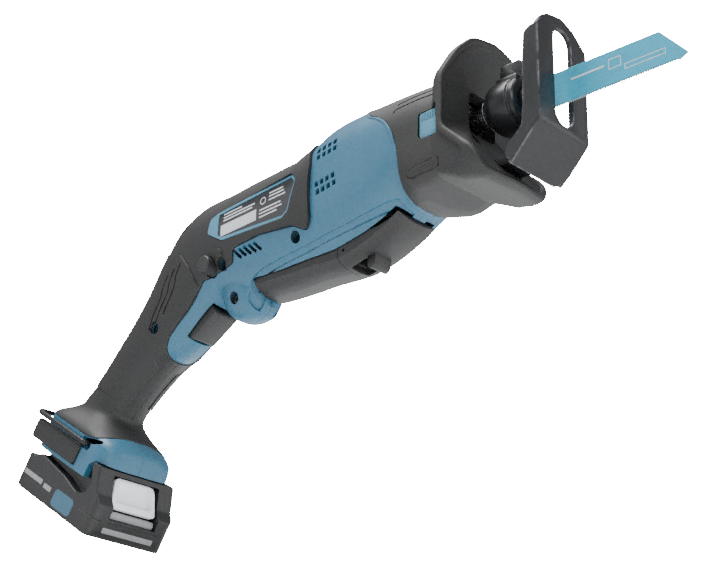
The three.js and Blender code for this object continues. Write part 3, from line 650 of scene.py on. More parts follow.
M = {
    "blue": surface("blue_nylon", (0.027, 0.118, 0.196), (0.033, 0.138, 0.224), (0.36, 0.48), grain=2100, bump=0.16, dist=0.00010, wear_and_glint=(0.16, 0.34, 0.44), wear_and_glint_amt=0.45, grain2=1500),
    "rubber": surface("grip_rubber", (0.0125, 0.0122, 0.0125), (0.0175, 0.0172, 0.0175), (0.52, 0.66), grain=1800, bump=0.24, dist=0.00014, wear_and_glint=(0.11, 0.11, 0.115), wear_and_glint_amt=0.4, grain2=1300),
    "dark": surface("dark_nylon", (0.0125, 0.0122, 0.0125), (0.0175, 0.0172, 0.0175), (0.40, 0.54), grain=2000, bump=0.18, dist=0.00011, wear_and_glint=(0.10, 0.10, 0.105), wear_and_glint_amt=0.4, grain2=1500),
    "battery": surface("battery_plastic", (0.0125, 0.0125, 0.0130), (0.0175, 0.0175, 0.0180), (0.38, 0.5), grain=2000, bump=0.16, dist=0.00011, wear_and_glint=(0.09, 0.09, 0.095), wear_and_glint_amt=0.35, grain2=1500, bevel=0.0007),
    "steel": surface("machined_steel", (0.42, 0.43, 0.45), (0.55, 0.56, 0.58), (0.22, 0.36), metallic=1.0, grain=900, bump=0.08, dist=0.00005, streak=(0.15, 1.0, 1.0), bevel=0.0003),
    "black_steel": surface("black_oxide", (0.0120, 0.0125, 0.0140), (0.0190, 0.0195, 0.0215), (0.30, 0.42), metallic=0.35, grain=1200, bump=0.10, dist=0.00008, wear_and_glint=(0.20, 0.20, 0.21), wear_and_glint_amt=0.30, bevel=0.0008),
    "spring": surface("spring_wire", (0.10, 0.10, 0.105), (0.16, 0.16, 0.165), (0.25, 0.36), metallic=1.0, grain=900, bump=0.08, dist=0.00005, bevel=0.0002),
    # shoe_steel: its light edge colour is a painted highlight along the folds and edges, where the steel would glint
    "shoe": surface("shoe_steel", (0.016, 0.0165, 0.0180), (0.024, 0.0245, 0.0262), (0.30, 0.40), metallic=0.3, grain=1200, bump=0.10, dist=0.00008, wear_and_glint=(0.34, 0.34, 0.35), wear_and_glint_amt=0.55, bevel=0.0012),
    "cast": surface("die_cast", (0.45, 0.46, 0.47), (0.56, 0.57, 0.58), (0.38, 0.52), metallic=1.0, grain=700, bump=0.25, dist=0.00012),
    "blade": surface("blade_coating", (0.024, 0.300, 0.450), (0.032, 0.340, 0.500), (0.30, 0.42), metallic=0.15, grain=1500, bump=0.10, dist=0.00005, streak=(0.12, 1.0, 1.0), wear_and_glint=(0.45, 0.48, 0.50), wear_and_glint_amt=0.6, bevel=0.0003, spec=0.6),
    "teeth": surface("ground_teeth", (0.05, 0.22, 0.28), (0.30, 0.36, 0.38), (0.25, 0.4), metallic=0.6, grain=900, bump=0.1, dist=0.00005, bevel=0.0002),
    "white": surface("white_plastic", (0.86, 0.87, 0.89), (0.93, 0.94, 0.96), (0.30, 0.42), grain=1800, bump=0.08, dist=0.00008, bevel=0.0008),
    "grey": surface("grey_step", (0.24, 0.243, 0.25), (0.29, 0.293, 0.30), (0.4, 0.5), grain=1800, bump=0.1, dist=0.00008),
    "bronze": surface("bronze", (0.40, 0.24, 0.11), (0.52, 0.33, 0.16), (0.3, 0.42), metallic=1.0, grain=900, bump=0.1, dist=0.00006),
    "copper": surface("copper", (0.55, 0.28, 0.15), (0.66, 0.36, 0.2), (0.25, 0.4), metallic=1.0, grain=1200, bump=0.2, dist=0.0001),
    "label": surface("label_foil", (0.014, 0.015, 0.017), (0.022, 0.023, 0.026), (0.22, 0.32), grain=900, bump=0.04, dist=0.00004, bevel=0.0002),
    "print": surface("printed_white", (0.50, 0.52, 0.54), (0.60, 0.62, 0.64), (0.4, 0.5), grain=2500, bump=0.05, dist=0.00003, bevel=0.0001),
    "wrap": surface("cell_wrap", (0.03, 0.12, 0.30), (0.05, 0.16, 0.36), (0.2, 0.3), grain=400, bump=0.05, dist=0.00005, coat=0.3),
    "board": surface("board", (0.01, 0.10, 0.06), (0.02, 0.14, 0.09), (0.3, 0.4), grain=600, bump=0.1, dist=0.00005),
    "badge": surface("badge_blue", (0.030, 0.105, 0.165), (0.038, 0.125, 0.190), (0.3, 0.42), grain=900, bump=0.05, dist=0.00004, bevel=0.0002),
    # the black for the sheets behind the air slots is painted shade for the dim inside of the body
    "black": surface("deep_black", (0.010, 0.010, 0.011), (0.016, 0.016, 0.018), (0.5, 0.65), grain=1500, bump=0.1, dist=0.0001),
    "bore": surface("bore_shadow", (0.006, 0.026, 0.042), (0.009, 0.034, 0.052), (0.5, 0.6), grain=1500, bump=0.1, dist=0.0001),
    "band": surface("light_band", (0.060, 0.200, 0.300), (0.075, 0.235, 0.340), (0.36, 0.46), grain=2000, bump=0.1, dist=0.0001),
}


def lens_material():
    m, t = nt("clear_lens")
    g = G(t)
    out = g.n("ShaderNodeOutputMaterial")
    p = g.n("ShaderNodeBsdfPrincipled")
    g.l(p.outputs[0], out.inputs[0])
    n1 = g.n("ShaderNodeTexNoise", in_Scale=300.0)
    co = g.n("ShaderNodeTexCoord")
    g.l(co.outputs["Object"], n1.inputs["Vector"])
    r = g.n("ShaderNodeValToRGB")
    r.color_ramp.elements[0].color = (0.6, 0.64, 0.66, 1)
    r.color_ramp.elements[1].color = (0.8, 0.83, 0.84, 1)
    g.l(n1.outputs["Fac"], r.inputs[0])
    g.l(r.outputs[0], p.inputs["Base Color"])
    p.inputs["Roughness"].default_value = 0.08
    p.inputs["Transmission Weight"].default_value = 0.6
    return m


M["lens"] = lens_material()


# ---------------------------------------------------------------- finished pieces
def finish_piece(o, name, mat, body_name, replaces=(), smooth=32, bevel=0.0, segs=3, keep_mats=False, where=None):
    """Moves a solid to the row frame in metres, shades it and rides it on its body."""
    me = o.data
    n = len(me.vertices)
    co = np.empty(n * 3)
    me.vertices.foreach_get("co", co)
    co = (co.reshape(-1, 3) + OFF) / 1000.0
    me.vertices.foreach_set("co", co.ravel())
    me.update()
    o.name = name
    me.name = name
    o.matrix_world = Matrix.Identity(4)
    if bevel:
        b = o.modifiers.new("bevel", "BEVEL")
        b.width = bevel / 1000.0
        b.segments = segs
        if where is None:
            b.limit_method = "ANGLE"
            b.angle_limit = math.radians(38)
        else:
            # only edges that pass where(x, y, z), in tool millimetres
            b.limit_method = "WEIGHT"
            bm = bmesh.new()
            bm.from_mesh(me)
            bm.edges.ensure_lookup_table()
            wt = np.zeros(len(bm.edges))
            for e in bm.edges:
                if len(e.link_faces) == 2 and e.calc_face_angle(0.0) > math.radians(32):
                    c = (e.verts[0].co + e.verts[1].co) * 500.0
                    if where(c.x - OFF[0], c.y, c.z - OFF[2]):
                        wt[e.index] = 1.0
            bm.free()
            me.attributes.new("bevel_weight_edge", "FLOAT", "EDGE").data.foreach_set("value", wt)
        b.harden_normals = False
        bpy.context.view_layer.update()
        dg = bpy.context.evaluated_depsgraph_get()
        new = bpy.data.meshes.new_from_object(o.evaluated_get(dg))
        o.modifiers.clear()
        o.data = new
        bpy.data.meshes.remove(me)
        me = new
    me.polygons.foreach_set("use_smooth", np.ones(len(me.polygons), dtype=bool))
    me.set_sharp_from_angle(angle=math.radians(smooth))
    if not keep_mats:
        me.materials.clear()
        me.materials.append(M[mat] if isinstance(mat, str) else mat)
    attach(o, body_name)
    if replaces:
        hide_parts(*replaces)
    return o


def paint(o, rules):
    """rules: [(material key, test(centre in tool mm, normal) -> bool)] after a base material; call before finishing."""
    me = o.data
    me.materials.clear()
    for k, _ in rules:
        me.materials.append(M[k])
    for p in me.polygons:
        c, nrm = p.center, p.normal
        for i in range(len(rules) - 1, -1, -1):
            if i == 0 or rules[i][1](c, nrm):
                p.material_index = i
                break



KB = 144
KR = 192
STEP = 2.0

# ---- housing halves
outer = body(0.0, KB, STEP)
under = body(1.5, 72, 3.0)
inner = ops(spine(3.0, 72, 3.0), ("+", lobe(3.0)), ("-", boxS(-262, -150, -40, 40, -330, -288)))
grip_zone = prism(gp, -60, 60)
grip_in = prism(offset_poly(gp, 0.28), -60, 60)
behind = prism([(x - 0.35, z) for x, z in _F] + [(-91, -260), (-480, -260), (-480, 60)], -60, 60)
hs = ops(copy(outer), ("-", grip_zone), ("+", under), ("&", behind), ("-", inner))
boss = None
bossl = []
for x, z, y in SCREWS:
    bossl.append(cyl(1, 4.6, -y, y, (x, 0, z), 28))
solid_part = ops(body(1.6, 72, 3.0), ("&", join_all([bossl[0], bossl[1], bossl[3], bossl[4]])))
solid_part2 = ops(body(1.6, 72, 3.0), ("&", bossl[2]))
foot_floor = ops(body(1.5, 96, 3.0), ("&", boxS(-262, -150, -40, 40, -306, -288)))
foot_outer = ops(copy(outer), ("&", boxS(-262, -150, -40, 40, -306, -288)))
hs = ops(hs, ("+", solid_part), ("+", solid_part2), ("+", foot_floor), ("+", foot_outer))
hs = ops(hs, ("-", boxS(-253, -170, -23.6, 23.6, -306, -291.2)), ("-", boxS(-264, -150, -40, 40, -320, -303)),
         ("-", prismS([(-196.5, -340), (-150, -340), (-150, -291.2), (-192.5, -291.2), (-196.5, -295.2)], -40, 40)),
         ("-", bore_cutter()), ("-", lever_cut()), ("-", trig_cut()), ("-", cyl(1, 2.3, -13.2, 13.2, (PIV[0], 0, PIV[1]), 20)),
         ("-", cyl(1, 5.7, -45, 45, (LOCK[0], 0, LOCK[1]), 40)),
         ("-", boxS(-258.4, -208.6, -45, -26.0, -300.9, -287.6)), ("-", boxS(-258.4, -208.6, 26.0, 45, -300.9, -287.6)))
HK = sh(-205.5, -285.5)
for y0, y1 in ((-45, -20.5), (20.5, 45)):
    hs = ops(hs, ("-", prismS(fillet([(-209, -285.2), (-200.5, -284.2), (-194.6, -281.4), (-195.8, -280.0), (-202, -281.0), (-209, -282.8)], [0, 1, 1, 1, 1, 0], 3), y0, y1)))
hs = ops(hs, ("-", ops(prismS(fillet([(-211.5, -289.2), (-203.0, -289.2), (-201.5, -287), (-203.0, -282.5), (-211.5, -282.5)], 1.2, 3), -45, -24.6))),
         ("-", ops(prismS(fillet([(-211.5, -289.2), (-203.0, -289.2), (-201.5, -287), (-203.0, -282.5), (-211.5, -282.5)], 1.2, 3), 24.6, 45))),
         ("-", cyl(1, 1.9, -40, -22, (HK[0], 0, HK[1]), 20)), ("-", cyl(1, 1.9, 22, 40, (HK[0], 0, HK[1]), 20)))
for side in (-1, 1):
    r1 = smooth_path(RIDGE, 48)
    r2 = smooth_path(RIDGE2, 48)
    strip = [tuple(q) for q in r1] + [(-211.8, -67.5), (-208.6, -71.5), (-203.5, -76), (-95, -76)]
    y0, y1 = (-60, -5) if side < 0 else (5, 60)
    hs = ops(hs, ("-", vents(side)), ("-", ops(prism(strip, y0, y1), ("-", body(1.3, 96, 3.0)))), ("-", groove(r2, 0.8, 0.7, side, lambda d: body(1.9, 96, 3.0))))
lip_path = [(x - 1.25, z) for x, z in _F[1:-1]]
for side in (-1, 1):
    y0, y1 = (-60, -6) if side < 0 else (6, 60)
    hs = ops(hs, ("+", ops(prism(band(lip_path, 1.3), y0, y1), ("&", body(-0.45, 96, 3.0)), ("-", body(0.6, 96, 3.0)))))
for side, name in ((-1, "housing_right"), (1, "housing_left")):
    o = ops(copy(hs), ("&", half(side)))
    paint(o, [("blue", None), ("bore", lambda c, n: c[1] < -9 and any((c[0] - a) ** 2 + (c[2] - b) ** 2 < (3.9 if a == -224.5 else 3.44) ** 2 for a, b, _ in SCREWS))])
    finish_piece(o, name + "_shell", "blue", "housing", (name,), keep_mats=True)
drop(hs)

# ---- dark sheets behind the air slots, so that no light passes through the body; their black is painted shade standing in for the dim inside
for side, name in ((-1, "right"), (1, "left")):
    y0, y1 = (-45, -12) if side < 0 else (12, 45)
    for tag, box in (("upper", (-150.5, -128.5, -27.5, 9.5)), ("rear", (-217.5, -190.5, -46.0, -33.0))):
        scr = ops(spine(3.06, 96, 3.0), ("-", spine(3.75, 96, 3.0)), ("&", boxm(box[0], box[1], y0, y1, box[2], box[3])))
        finish_piece(scr, "dust_screen_%s_%s" % (tag, name), "black", "housing", ())

# ---- grip skins


def panel_body(K):
    q = np.unique(np.r_[np.arange(0, _d[-1], STEP), _d[-1]])
    S = np.stack([pchip(_d, SP[:, k], q) for k in range(7)], 1)
    out = []
    for r in S:
        t = min(1.0, max(0.0, (r[0] + 222) / 62))
        r = r.copy()
        r[5] += 1.5 * t * t * (3 - 2 * t)
        out.append(section(r, K, -0.75))
    return ops(rings(out), ("+", lobe(-0.75)))


raised = panel_body(KB)
pad_zone = prism(fillet([(-300, -5), (-273.5, -20.6), (-258.9, -26.5), (-251.5, -36.3), (-247.4, -46.9), (-248.5, -51.5), (-259, -60.2), (-276, -72.6), (-280, -77), sh(-200, -225), sh(-196, -256), sh(-260, -256)],
                        [0, 4, 4, 6, 3, 3, 10, 8, 3, 0, 0, 0], 5), -60, 60)
pad = ops(pad_zone, ("&", body(-1.35, KB, STEP)), ("-", body(0.9, 96, 3.0)), ("-", boxm(-400, 0, -7.5, 7.5, -300, 100)))
sk_extra = []
for sd in (-1, 1):
    y0, y1 = (-60, -8) if sd < 0 else (8, 60)
    ring_ = ops(cyl(1, 4.4, y0, y1, (-226.9, 0, -36.6), 32), ("&", body(-1.5, 96, 3.0)), ("-", body(0.9, 96, 3.0)))
    sk_extra.append(ring_)
sk = ops(raised, ("+", pad), ("+", sk_extra[0]), ("+", sk_extra[1]), ("&", grip_in), ("-", body(1.2, 96, 2.5)))
cuts = [cyl(1, 3.7, -60, 0, (x, 0, z), 28) for x, z, y in SCREWS]
sk = ops(sk, ("-", trig_cut()), ("-", cyl(1, 5.7, -45, 45, (LOCK[0], 0, LOCK[1]), 40)), ("-", join_all([cuts[0], cuts[1], cuts[3], cuts[4]])), ("-", cuts[2]))
PLATE = [(-226, -11.0), (-166, -6.1), (-162.3, -10.4), (-168.3, -27.0), (-172.5, -29.4), (-222, -27.6), (-233.5, -20.6), (-231.8, -12.8)]
plf = fillet(PLATE, [1.5, 1.5, 1, 1, 1.5, 2, 2, 2], 3)
for side in (-1, 1):
    y0, y1 = (-60, -8) if side < 0 else (8, 60)
    seat = ops(prism(offset_poly(plf, -1.3), y0, y1), ("-", body(0.0, 96, 2.5)))
    sk = ops(sk, ("-", vents(side)), ("-", seat))
    for k in range(3):
        gpth = smooth_path([(-258 - 6.0 * k, -31.5 - 2.0 * k), (-262.5 - 6.0 * k, -38 - 2.0 * k), (-264.5 - 6.4 * k, -44 - 2.6 * k), (-270 - 6.6 * k, -51.5 - 2.6 * k), (-275.5 - 6.4 * k, -58.5 - 3 * k)], 20)
        sk = ops(sk, ("-", groove(gpth, 1.1, 0.1, side, lambda d: body(d, 96, 2.5), 9)))
for side, name in ((-1, "grip_skin_right"), (1, "grip_skin_left")):
    o = ops(copy(sk), ("&", half(side)))
    finish_piece(o, name + "_cover", "rubber", "housing", (name,))
drop(sk)

# ---- name plates: teal frame round a dark foil with plain blocks
for side, name in ((-1, "name_plate_right"), (1, "name_plate_left")):
    y0, y1 = (-60, -8) if side < 0 else (8, 60)
    fr = ops(prism(offset_poly(plf, -0.9), y0, y1), ("&", body(-1.0, 96, 2.5)), ("-", body(-0.15, 96, 2.5)))
    fr = ops(fr, ("-", ops(prism(offset_poly(plf, 0.75), y0, y1), ("&", boxm(-225.2, -100, y0 - 1, y1 + 1, -60, 20)))))
    finish_piece(fr, name + "_frame", "band", "housing", (name,))
    pl = ops(prism(offset_poly(plf, 0.9), y0, y1), ("&", boxm(-225.0, -100, y0 - 1, y1 + 1, -60, 20)), ("&", body(-0.55, 96, 2.5)), ("-", body(-0.15, 96, 2.5)))
    finish_piece(pl, name + "_foil", "label", "housing", ())
    bl = []
    def blk(pts):
        return ops(prism(pts, y0, y1), ("&", body(-0.68, 96, 2.5)), ("-", body(-0.57, 96, 2.5)))
    finish_piece(blk(fillet([(-223, -26.0), (-193.5, -24.9), (-193.5, -18.2), (-223, -19.4)], 0.3, 2)), name + "_block", "print", "housing", ())
    for k, (xa, xb, za) in enumerate([(-221, -206, -13.3), (-221, -195, -15.4), (-221, -197, -17.3), (-191, -174, -20.4), (-191, -173, -22.5), (-191, -177, -24.6), (-183.5, -172.5, -11.7), (-183.5, -171.5, -13.8), (-183.5, -170.5, -16.0)]):
        sl = 0.04
        finish_piece(blk([(xa, za), (xb, za + sl * (xb - xa)), (xb, za + sl * (xb - xa) + 0.9), (xa, za + 0.9)]), "%s_line_%d" % (name, k), "print", "housing", ())
    disc = [(-188.2 + 2.3 * math.cos(t), -14.6 + 2.3 * math.sin(t)) for t in np.arange(32) * math.pi / 16]
    finish_piece(ops(blk(disc), ("-", cyl(1, 1.75, -60, 60, (-188.2, 0, -14.6), 28))), name + "_ring", "print", "housing", ())


# ---- boot and bell
RIM = [(-33, 15.5, -54, 4), (-27.2, 30.6, -47, 3), (-17.5, 40.4, -43.8, 4), (0, 42.6, -42, 5),
       (17.5, 40.4, -43.8, 4), (27.2, 30.6, -47, 3), (33, 15.5, -54, 4), (33, -15.0, -54.5, 4), (32.4, -34.5, -34.5, 7), (25, -45.4, -31.0, 7), (0, -46.6, -27, 14),
       (-25, -45.4, -31.0, 7), (-32.4, -34.5, -34.5, 7), (-33, -15.0, -54.5, 4)]


def rim_points(K):
    P = np.array([p[:3] for p in RIM], float)
    r = [p[3] for p in RIM]
    out = []
    N = len(P)
    for i in range(N):
        p, a, b = P[i], P[i - 1], P[(i + 1) % N]
        la, lb = np.linalg.norm(a - p), np.linalg.norm(b - p)
        d = min(r[i], 0.45 * la, 0.45 * lb)
        s, e = p + (a - p) / la * d, p + (b - p) / lb * d
        for k in range(9):
            t = k / 8
            out.append((1 - t) ** 2 * s + 2 * t * (1 - t) * p + t * t * e)
    Q = np.array(out)
    L = np.r_[0, np.cumsum(np.linalg.norm(np.diff(np.vstack([Q, Q[:1]]), axis=0), axis=1))]
    q = np.arange(K) * L[-1] / K
    Q2 = np.vstack([Q, Q[:1]])
    return np.stack([np.interp(q, L, Q2[:, k]) for k in range(3)], 1)


def low_n(x):
    t = min(1.0, max(0.0, (x + 92) / 18))
    return 2.5 + 4.5 * t * t * (3 - 2 * t)


def boot_rings(K, grow=0.0, inner_only=False):
    R = rim_points(K)
    ang = np.arctan2((R[:, 1] + 5) / 43, R[:, 0] / 33)

    def ring(x, c, h, w, n=None):
        if n is None:
            nn = np.where(np.sin(ang) < 0, low_n(x), 2.5)
        else:
            nn = np.full(K, float(n))
        return np.stack([np.full(K, float(x)), (w + grow) * sgn(np.cos(ang), 2 / nn), c + (h + grow) * sgn(np.sin(ang), 2 / nn)], 1)

    wb = np.clip((-R[:, 1] - 30) / 14, 0, 1)
    wb = wb * wb * (3 - 2 * wb)

    def rim(f, dx, f2=None, dx2=None):
        ff = f + wb * ((f if f2 is None else f2) - f)
        dd = dx + wb * ((dx if dx2 is None else dx2) - dx)
        return np.stack([R[:, 2] + dd, R[:, 0] * ff, -5 + (R[:, 1] + 5) * ff], 1)

    pro = []
    for x, c, h, w in [(-128, -8.7, 33.4, 30.3), (-118, -8.9, 33.4, 30.3), (-108, -9, 33.4, 30.3), (-98, -9, 33.4, 30.3), (-92, -8.9, 33.3, 30.3), (-86, -8.7, 33.0, 30.2), (-80, -8.4, 32.6, 30.1), (-75, -8.1, 32.2, 29.9), (-71, -7.8, 31.7, 29.5), (-67, -7.5, 31.2, 29)]:
        pro.append(ring(x, c, h, w))
    a, b = ring(-64, -7.3, 30.9, 28.7), rim(0.925, -7.2, 1.0, -16.5)
    for t in (0.0, 0.35, 0.7):
        pro.append(a * (1 - t) + b * t)
    pro += [b, rim(0.965, -6.3, 1.012, -12.5), rim(0.99, -5.0, 1.028, -9), rim(1.0, -3.4, 1.03, -5.8), rim(1.0, -1.6, 1.02, -2.6), rim(0.992, -0.5, 1.004, -0.8), rim(0.975, -0.05, 0.98, -0.1), rim(0.952, 0), rim(0.93, -0.3), rim(0.913, -1.1), rim(0.9, -2.4)]
    c1, c2 = rim(0.9, -2.4), ring(-53, 1.2, 12.2, 11.0, 7)
    for t in (0.33, 0.66):
        pro.append(c1 * (1 - t) + c2 * t)
    pro += [c2, ring(-60.5, 1.2, 12.2, 11.0, 7), ring(-60.6, -7.5, 28, 25.8), ring(-76, -8.2, 29.2, 27), ring(-92, -9, 30.3, 27.3), ring(-128, -9, 30.2, 27.3)]
    return list(np.stack(pro, 1))


def boot_inset(d):
    """The boot's outside drawn in, capped, for grooves."""
    R = rim_points(KR)
    ang = np.arctan2((R[:, 1] + 5) / 43, R[:, 0] / 33)
    rs = []
    for x, c, h, w in [(-130, -8.7, 33.4, 30.3), (-108, -9, 33.4, 30.3), (-98, -9, 33.4, 30.3), (-92, -8.9, 33.3, 30.3), (-86, -8.7, 33.0, 30.2), (-80, -8.4, 32.6, 30.1), (-75, -8.1, 32.2, 29.9), (-71, -7.8, 31.7, 29.5), (-67, -7.5, 31.2, 29), (-60, -7.3, 30.9, 28.7), (-52, -7.3, 30.9, 28.7)]:
        nn = np.where(np.sin(ang) < 0, low_n(x), 2.5)
        rs.append(np.stack([np.full(KR, float(x)), (w - d) * sgn(np.cos(ang), 2 / nn), c + (h - d) * sgn(np.sin(ang), 2 / nn)], 1))
    return rings(rs)


WIN = (-72.5, -57.5, -16.5, -0.8)
boot = rings(boot_rings(KR), closed=True)
ahead = prism([(60, 60)] + _F + [(-94, -120), (60, -120)], -60, 60)
boot = ops(boot, ("&", ahead),
           ("-", prism(fillet([(WIN[0], WIN[2]), (WIN[1], WIN[2] - 0.4), (WIN[1], WIN[3] + 0.4), (WIN[0], WIN[3] - 0.6)], [2, 1, 1, 2], 4), -40, -20)),
           ("-", boxm(-90, -22, -9.7, 9.7, -37.4, -32.1)), ("-", cyl(0, 3.7, -62, -40, (0, -11, -17.5), 28)),
           ("-", prism([(-129, 80), (-126, 80), (-126, -80), (-129, -80)], -60, 60)))
for side in (-1, 1):
    for pth, w, d in (([(-90.5, 5.5), (-88.8, 7.4), (-84, 8.0), (-63, 9.2)], 0.9, 0.8), ([(-88.5, 10.2), (-86, 11.4), (-64, 13.0)], 0.9, 0.8)):
        boot = ops(boot, ("-", groove(smooth_path(pth, 12), w, d, side, boot_inset, 12)))
    em = fillet([(-81.6, -32.4), (-61.5, -28.9), (-59.4, -30.9), (-60.2, -34.6), (-77.6, -37.0), (-81.2, -35.4)], 1.0, 3)
    em_in = offset_poly(em, 0.75)
    y0, y1 = (-60, -14) if side < 0 else (14, 60)
    boot = ops(boot, ("-", ops(prism(em, y0, y1), ("-", prism(em_in, y0 - 1, y1 + 1)), ("-", boot_inset(0.4)))))
finish_piece(boot, "front_boot_shell", "rubber", "housing", ("front_boot",), smooth=28)

# ---- lever, cover, slider
def lever_solid(grow):
    q = np.unique(np.r_[np.arange(_d[1], _d[12], 2.5), _d[12]])
    S = np.stack([pchip(_d, SP[:, k], q) for k in range(7)], 1)
    out = []
    for r in S:
        r = r.copy()
        r[4] += 2.3 * math.exp(-((r[0] + 133) / 24) ** 2)
        out.append(section(r, 96, -grow))
    return rings(out)


lv = ops(lever_solid(0.9), ("&", prism(fillet([(-205, -70), (-141.9, -70), (-141.9, -50.5), (-205, -52)], [0, 0, 1, 1], 3), -LEVW, LEVW)),
         ("-", boxm(-198, -146, -12.8, 12.8, -59.5, -40)), ("+", boxm(-208.5, -198, -8, 8, -57.4, -52)),
         ("+", cyl(1, 4, -8, 8, (PIV[0], 0, PIV[1]), 28)), ("-", cyl(1, 2.3, -30, 30, (PIV[0], 0, PIV[1]), 20)))
finish_piece(lv, "switch_lever_paddle", "dark", "lever", ("switch_lever",), smooth=30)
cv = ops(lever_solid(1.3), ("&", prism(fillet([(-141.2, -70), (-97.5, -70), (-97.5, -44), (-104, -47), (-112, -49), (-141.2, -50)], [0, 0, 1, 1, 1, 1], 3), -LEVW - 0.2, LEVW + 0.2)),
         ("-", boxm(-137.5, -121.5, -5.0, 5.0, -70, -40)),
         ("-", prism_dir(fillet([(-138.4, -7.4), (-120.6, -7.4), (-120.6, 7.4), (-138.4, 7.4)], 1.8, 4), (0, 0, 0), (1, 0, 0), (0, 1, 0), (0, 0, 1), -80, -59.4)),
         ("-", cyl(1, 1.0, -40, -10, (-137.2, 0, -55.8), 16)), ("-", cyl(1, 1.0, 10, 40, (-137.2, 0, -55.8), 16)))
finish_piece(cv, "lever_front_shell", "dark", "lever", ("lever_front_cover",), smooth=30)
tab = prism(fillet([(-127.4, -59.0), (-127.6, -65.4), (-124.9, -66.6), (-122.2, -65.0), (-121.4, -59.0)], [0.3, 1.4, 1.4, 1.2, 0.3], 4), -6.4, 6.4)
sl = ops(boxm(-127.4, -121.8, -4.7, 4.7, -60.2, -51), ("+", tab))
finish_piece(sl, "lock_off_tab", "dark", "lock_off", ("lock_off_slider",), bevel=0.35)

# ---- trigger: rounded finger face
tr = ops(prism(fillet([(-242.5, -61.5), (-263, -73.8), (-268.5, -64.3), (-249, -52.4), (-246, -56.2)], [2.2, 2.0, 1, 1, 1], 4), -9, 9))
finish_piece(tr, "rear_trigger_paddle", "dark", "trigger", ("rear_trigger",), bevel=1.1, segs=4)

# ---- lock button
lb = ops(lathe(1, (LOCK[0], 0, LOCK[1]), [(-29.2, 3.2), (-29.15, 4.4), (-28.7, 5.0), (-27.9, 5.15), (25.2, 5.15), (25.9, 4.9), (26.2, 4.2)], 48),
         ("-", boxm(-245, -220, -14, 14, LOCK[1] - 6, LOCK[1] - 1.8)))
finish_piece(lb, "lock_button_cap", "dark", "lock_button", ("lock_button",))

# ---- screws
for nm, (x, z, y) in zip(("front", "lobe", "middle", "rear_top", "grip"), SCREWS):
    s = lathe(1, (x, 0, z), [(-12.5, 1.4), (-12.48, 2.5), (-12.1, 2.9), (-10.2, 2.95), (-9.4, 2.6), (-9.38, 1.5), (10.2, 1.5), (11, 0.7)], 32)
    a = np.arange(12) * math.pi / 6
    star = [(x + (1.5 if k % 2 else 0.95) * math.cos(t), z + (1.5 if k % 2 else 0.95) * math.sin(t)) for k, t in enumerate(a)]
    s = ops(s, ("-", prism(star, -14, -11.2)))
    finish_piece(s, "screw_%s_head" % nm, "black_steel" if nm != "x" else "steel", "housing", ("housing_screw_" + nm,))

# ---- shoe
slot = []
for i in range(17):
    t = math.pi * i / 16
    slot.append((7.8 * math.cos(t), 26.1 + 7.8 * math.sin(t)))
for i in range(17):
    t = math.pi * i / 16
    slot.append((-7.8 * math.cos(t), -14.6 - 7.8 * math.sin(t)))
W1, W2 = -21.4, 20.7
face = fillet([(-11.7, 38.8), (0, 41.0), (9.9, 37.6), (W2, 29), (W2, -24), (W1, -24), (W1, 30.2), (-16.5, 36.2)], [3, 6, 4, 5, 0, 0, 3, 3], 5)
pl = prism_dir(face, (0, 0, 0), (0, 1, 0), (0, 0, 1), (1, 0, 0), -2.5, 0)
# side profile with a rounded fold between the face and the slanted part
prof = [(-2.5, -20), (0, -20), (0, -23.5)]
for i in range(7):
    t = math.radians(45 * i / 6)
    prof.append((-4.5 + 4.5 * math.cos(t), -23.5 - 4.5 * math.sin(t)))
prof += [(-18.4, -44.9), (-18.9, -45.1), (-20.3, -43.8)]
for i in range(7):
    t = math.radians(45 * (6 - i) / 6)
    prof.append((-4.5 + 2.0 * math.cos(t), -23.5 - 2.0 * math.sin(t)))
low = prism(prof, W1, W2)
# the lower corner on the +Y side cut off as the outline narrows; the cutter drawn for the -Y corner is not used
cor = prism_dir([(-40, -60), (-40, -28), (W1, -28), (W1 + 0.6, -33), (-12.5, -43.8), (-9, -46), (-9, -60)], (0, 0, 0), (0, 1, 0), (0, 0, 1), (1, 0, 0), -30, 10)
cor2 = prism_dir([(40, -60), (40, -26), (W2 + 0.5, -26), (W2 + 0.4, -38), (W2 - 2.5, -43), (W2 - 8, -46), (W2 - 9, -60)], (0, 0, 0), (0, 1, 0), (0, 0, 1), (1, 0, 0), -30, 10)
shoe = ops(pl, ("+", low), ("-", cor2))
for y0, y1 in ((W1, W1 + 2.5), (W2 - 2.5, W2)):
    fl = prism(fillet([(-0.3, 30.0), (-5, 29.4), (-9.0, 26.8), (-10.2, 10), (-10.4, -12), (-11.6, -26), (-16.8, -31.0), (-21.6, -33.2), (-22.6, -37), (-21.2, -41.5), (-18.4, -43.6), (-13, -38.8), (-0.4, -25.5)], [0, 2, 3, 6, 6, 4, 3, 3, 3, 2, 1, 1, 0], 4), y0, y1)
    shoe = ops(shoe, ("+", fl))
sl_ = prism_dir(slot, (0, 0, 0), (0, 1, 0), (0, 0, 1), (1, 0, 0), -6, 6)
shoe = ops(shoe, ("-", sl_), ("-", cyl(1, 2.35, -19.6, 40, (-18.8, 0, -35), 32)))
finish_piece(shoe, "shoe_plate", "shoe", "shoe", ("shoe",), bevel=1.15, segs=4, smooth=44)
pin = lathe(1, (-18.8, 0, -35), [(-19.4, 1.6), (-19.1, 2.1), (20.0, 2.1), (20.4, 1.6)], 32)
finish_piece(pin, "shoe_pivot_pin", "black_steel", "shoe_bar", ("shoe_pin",))

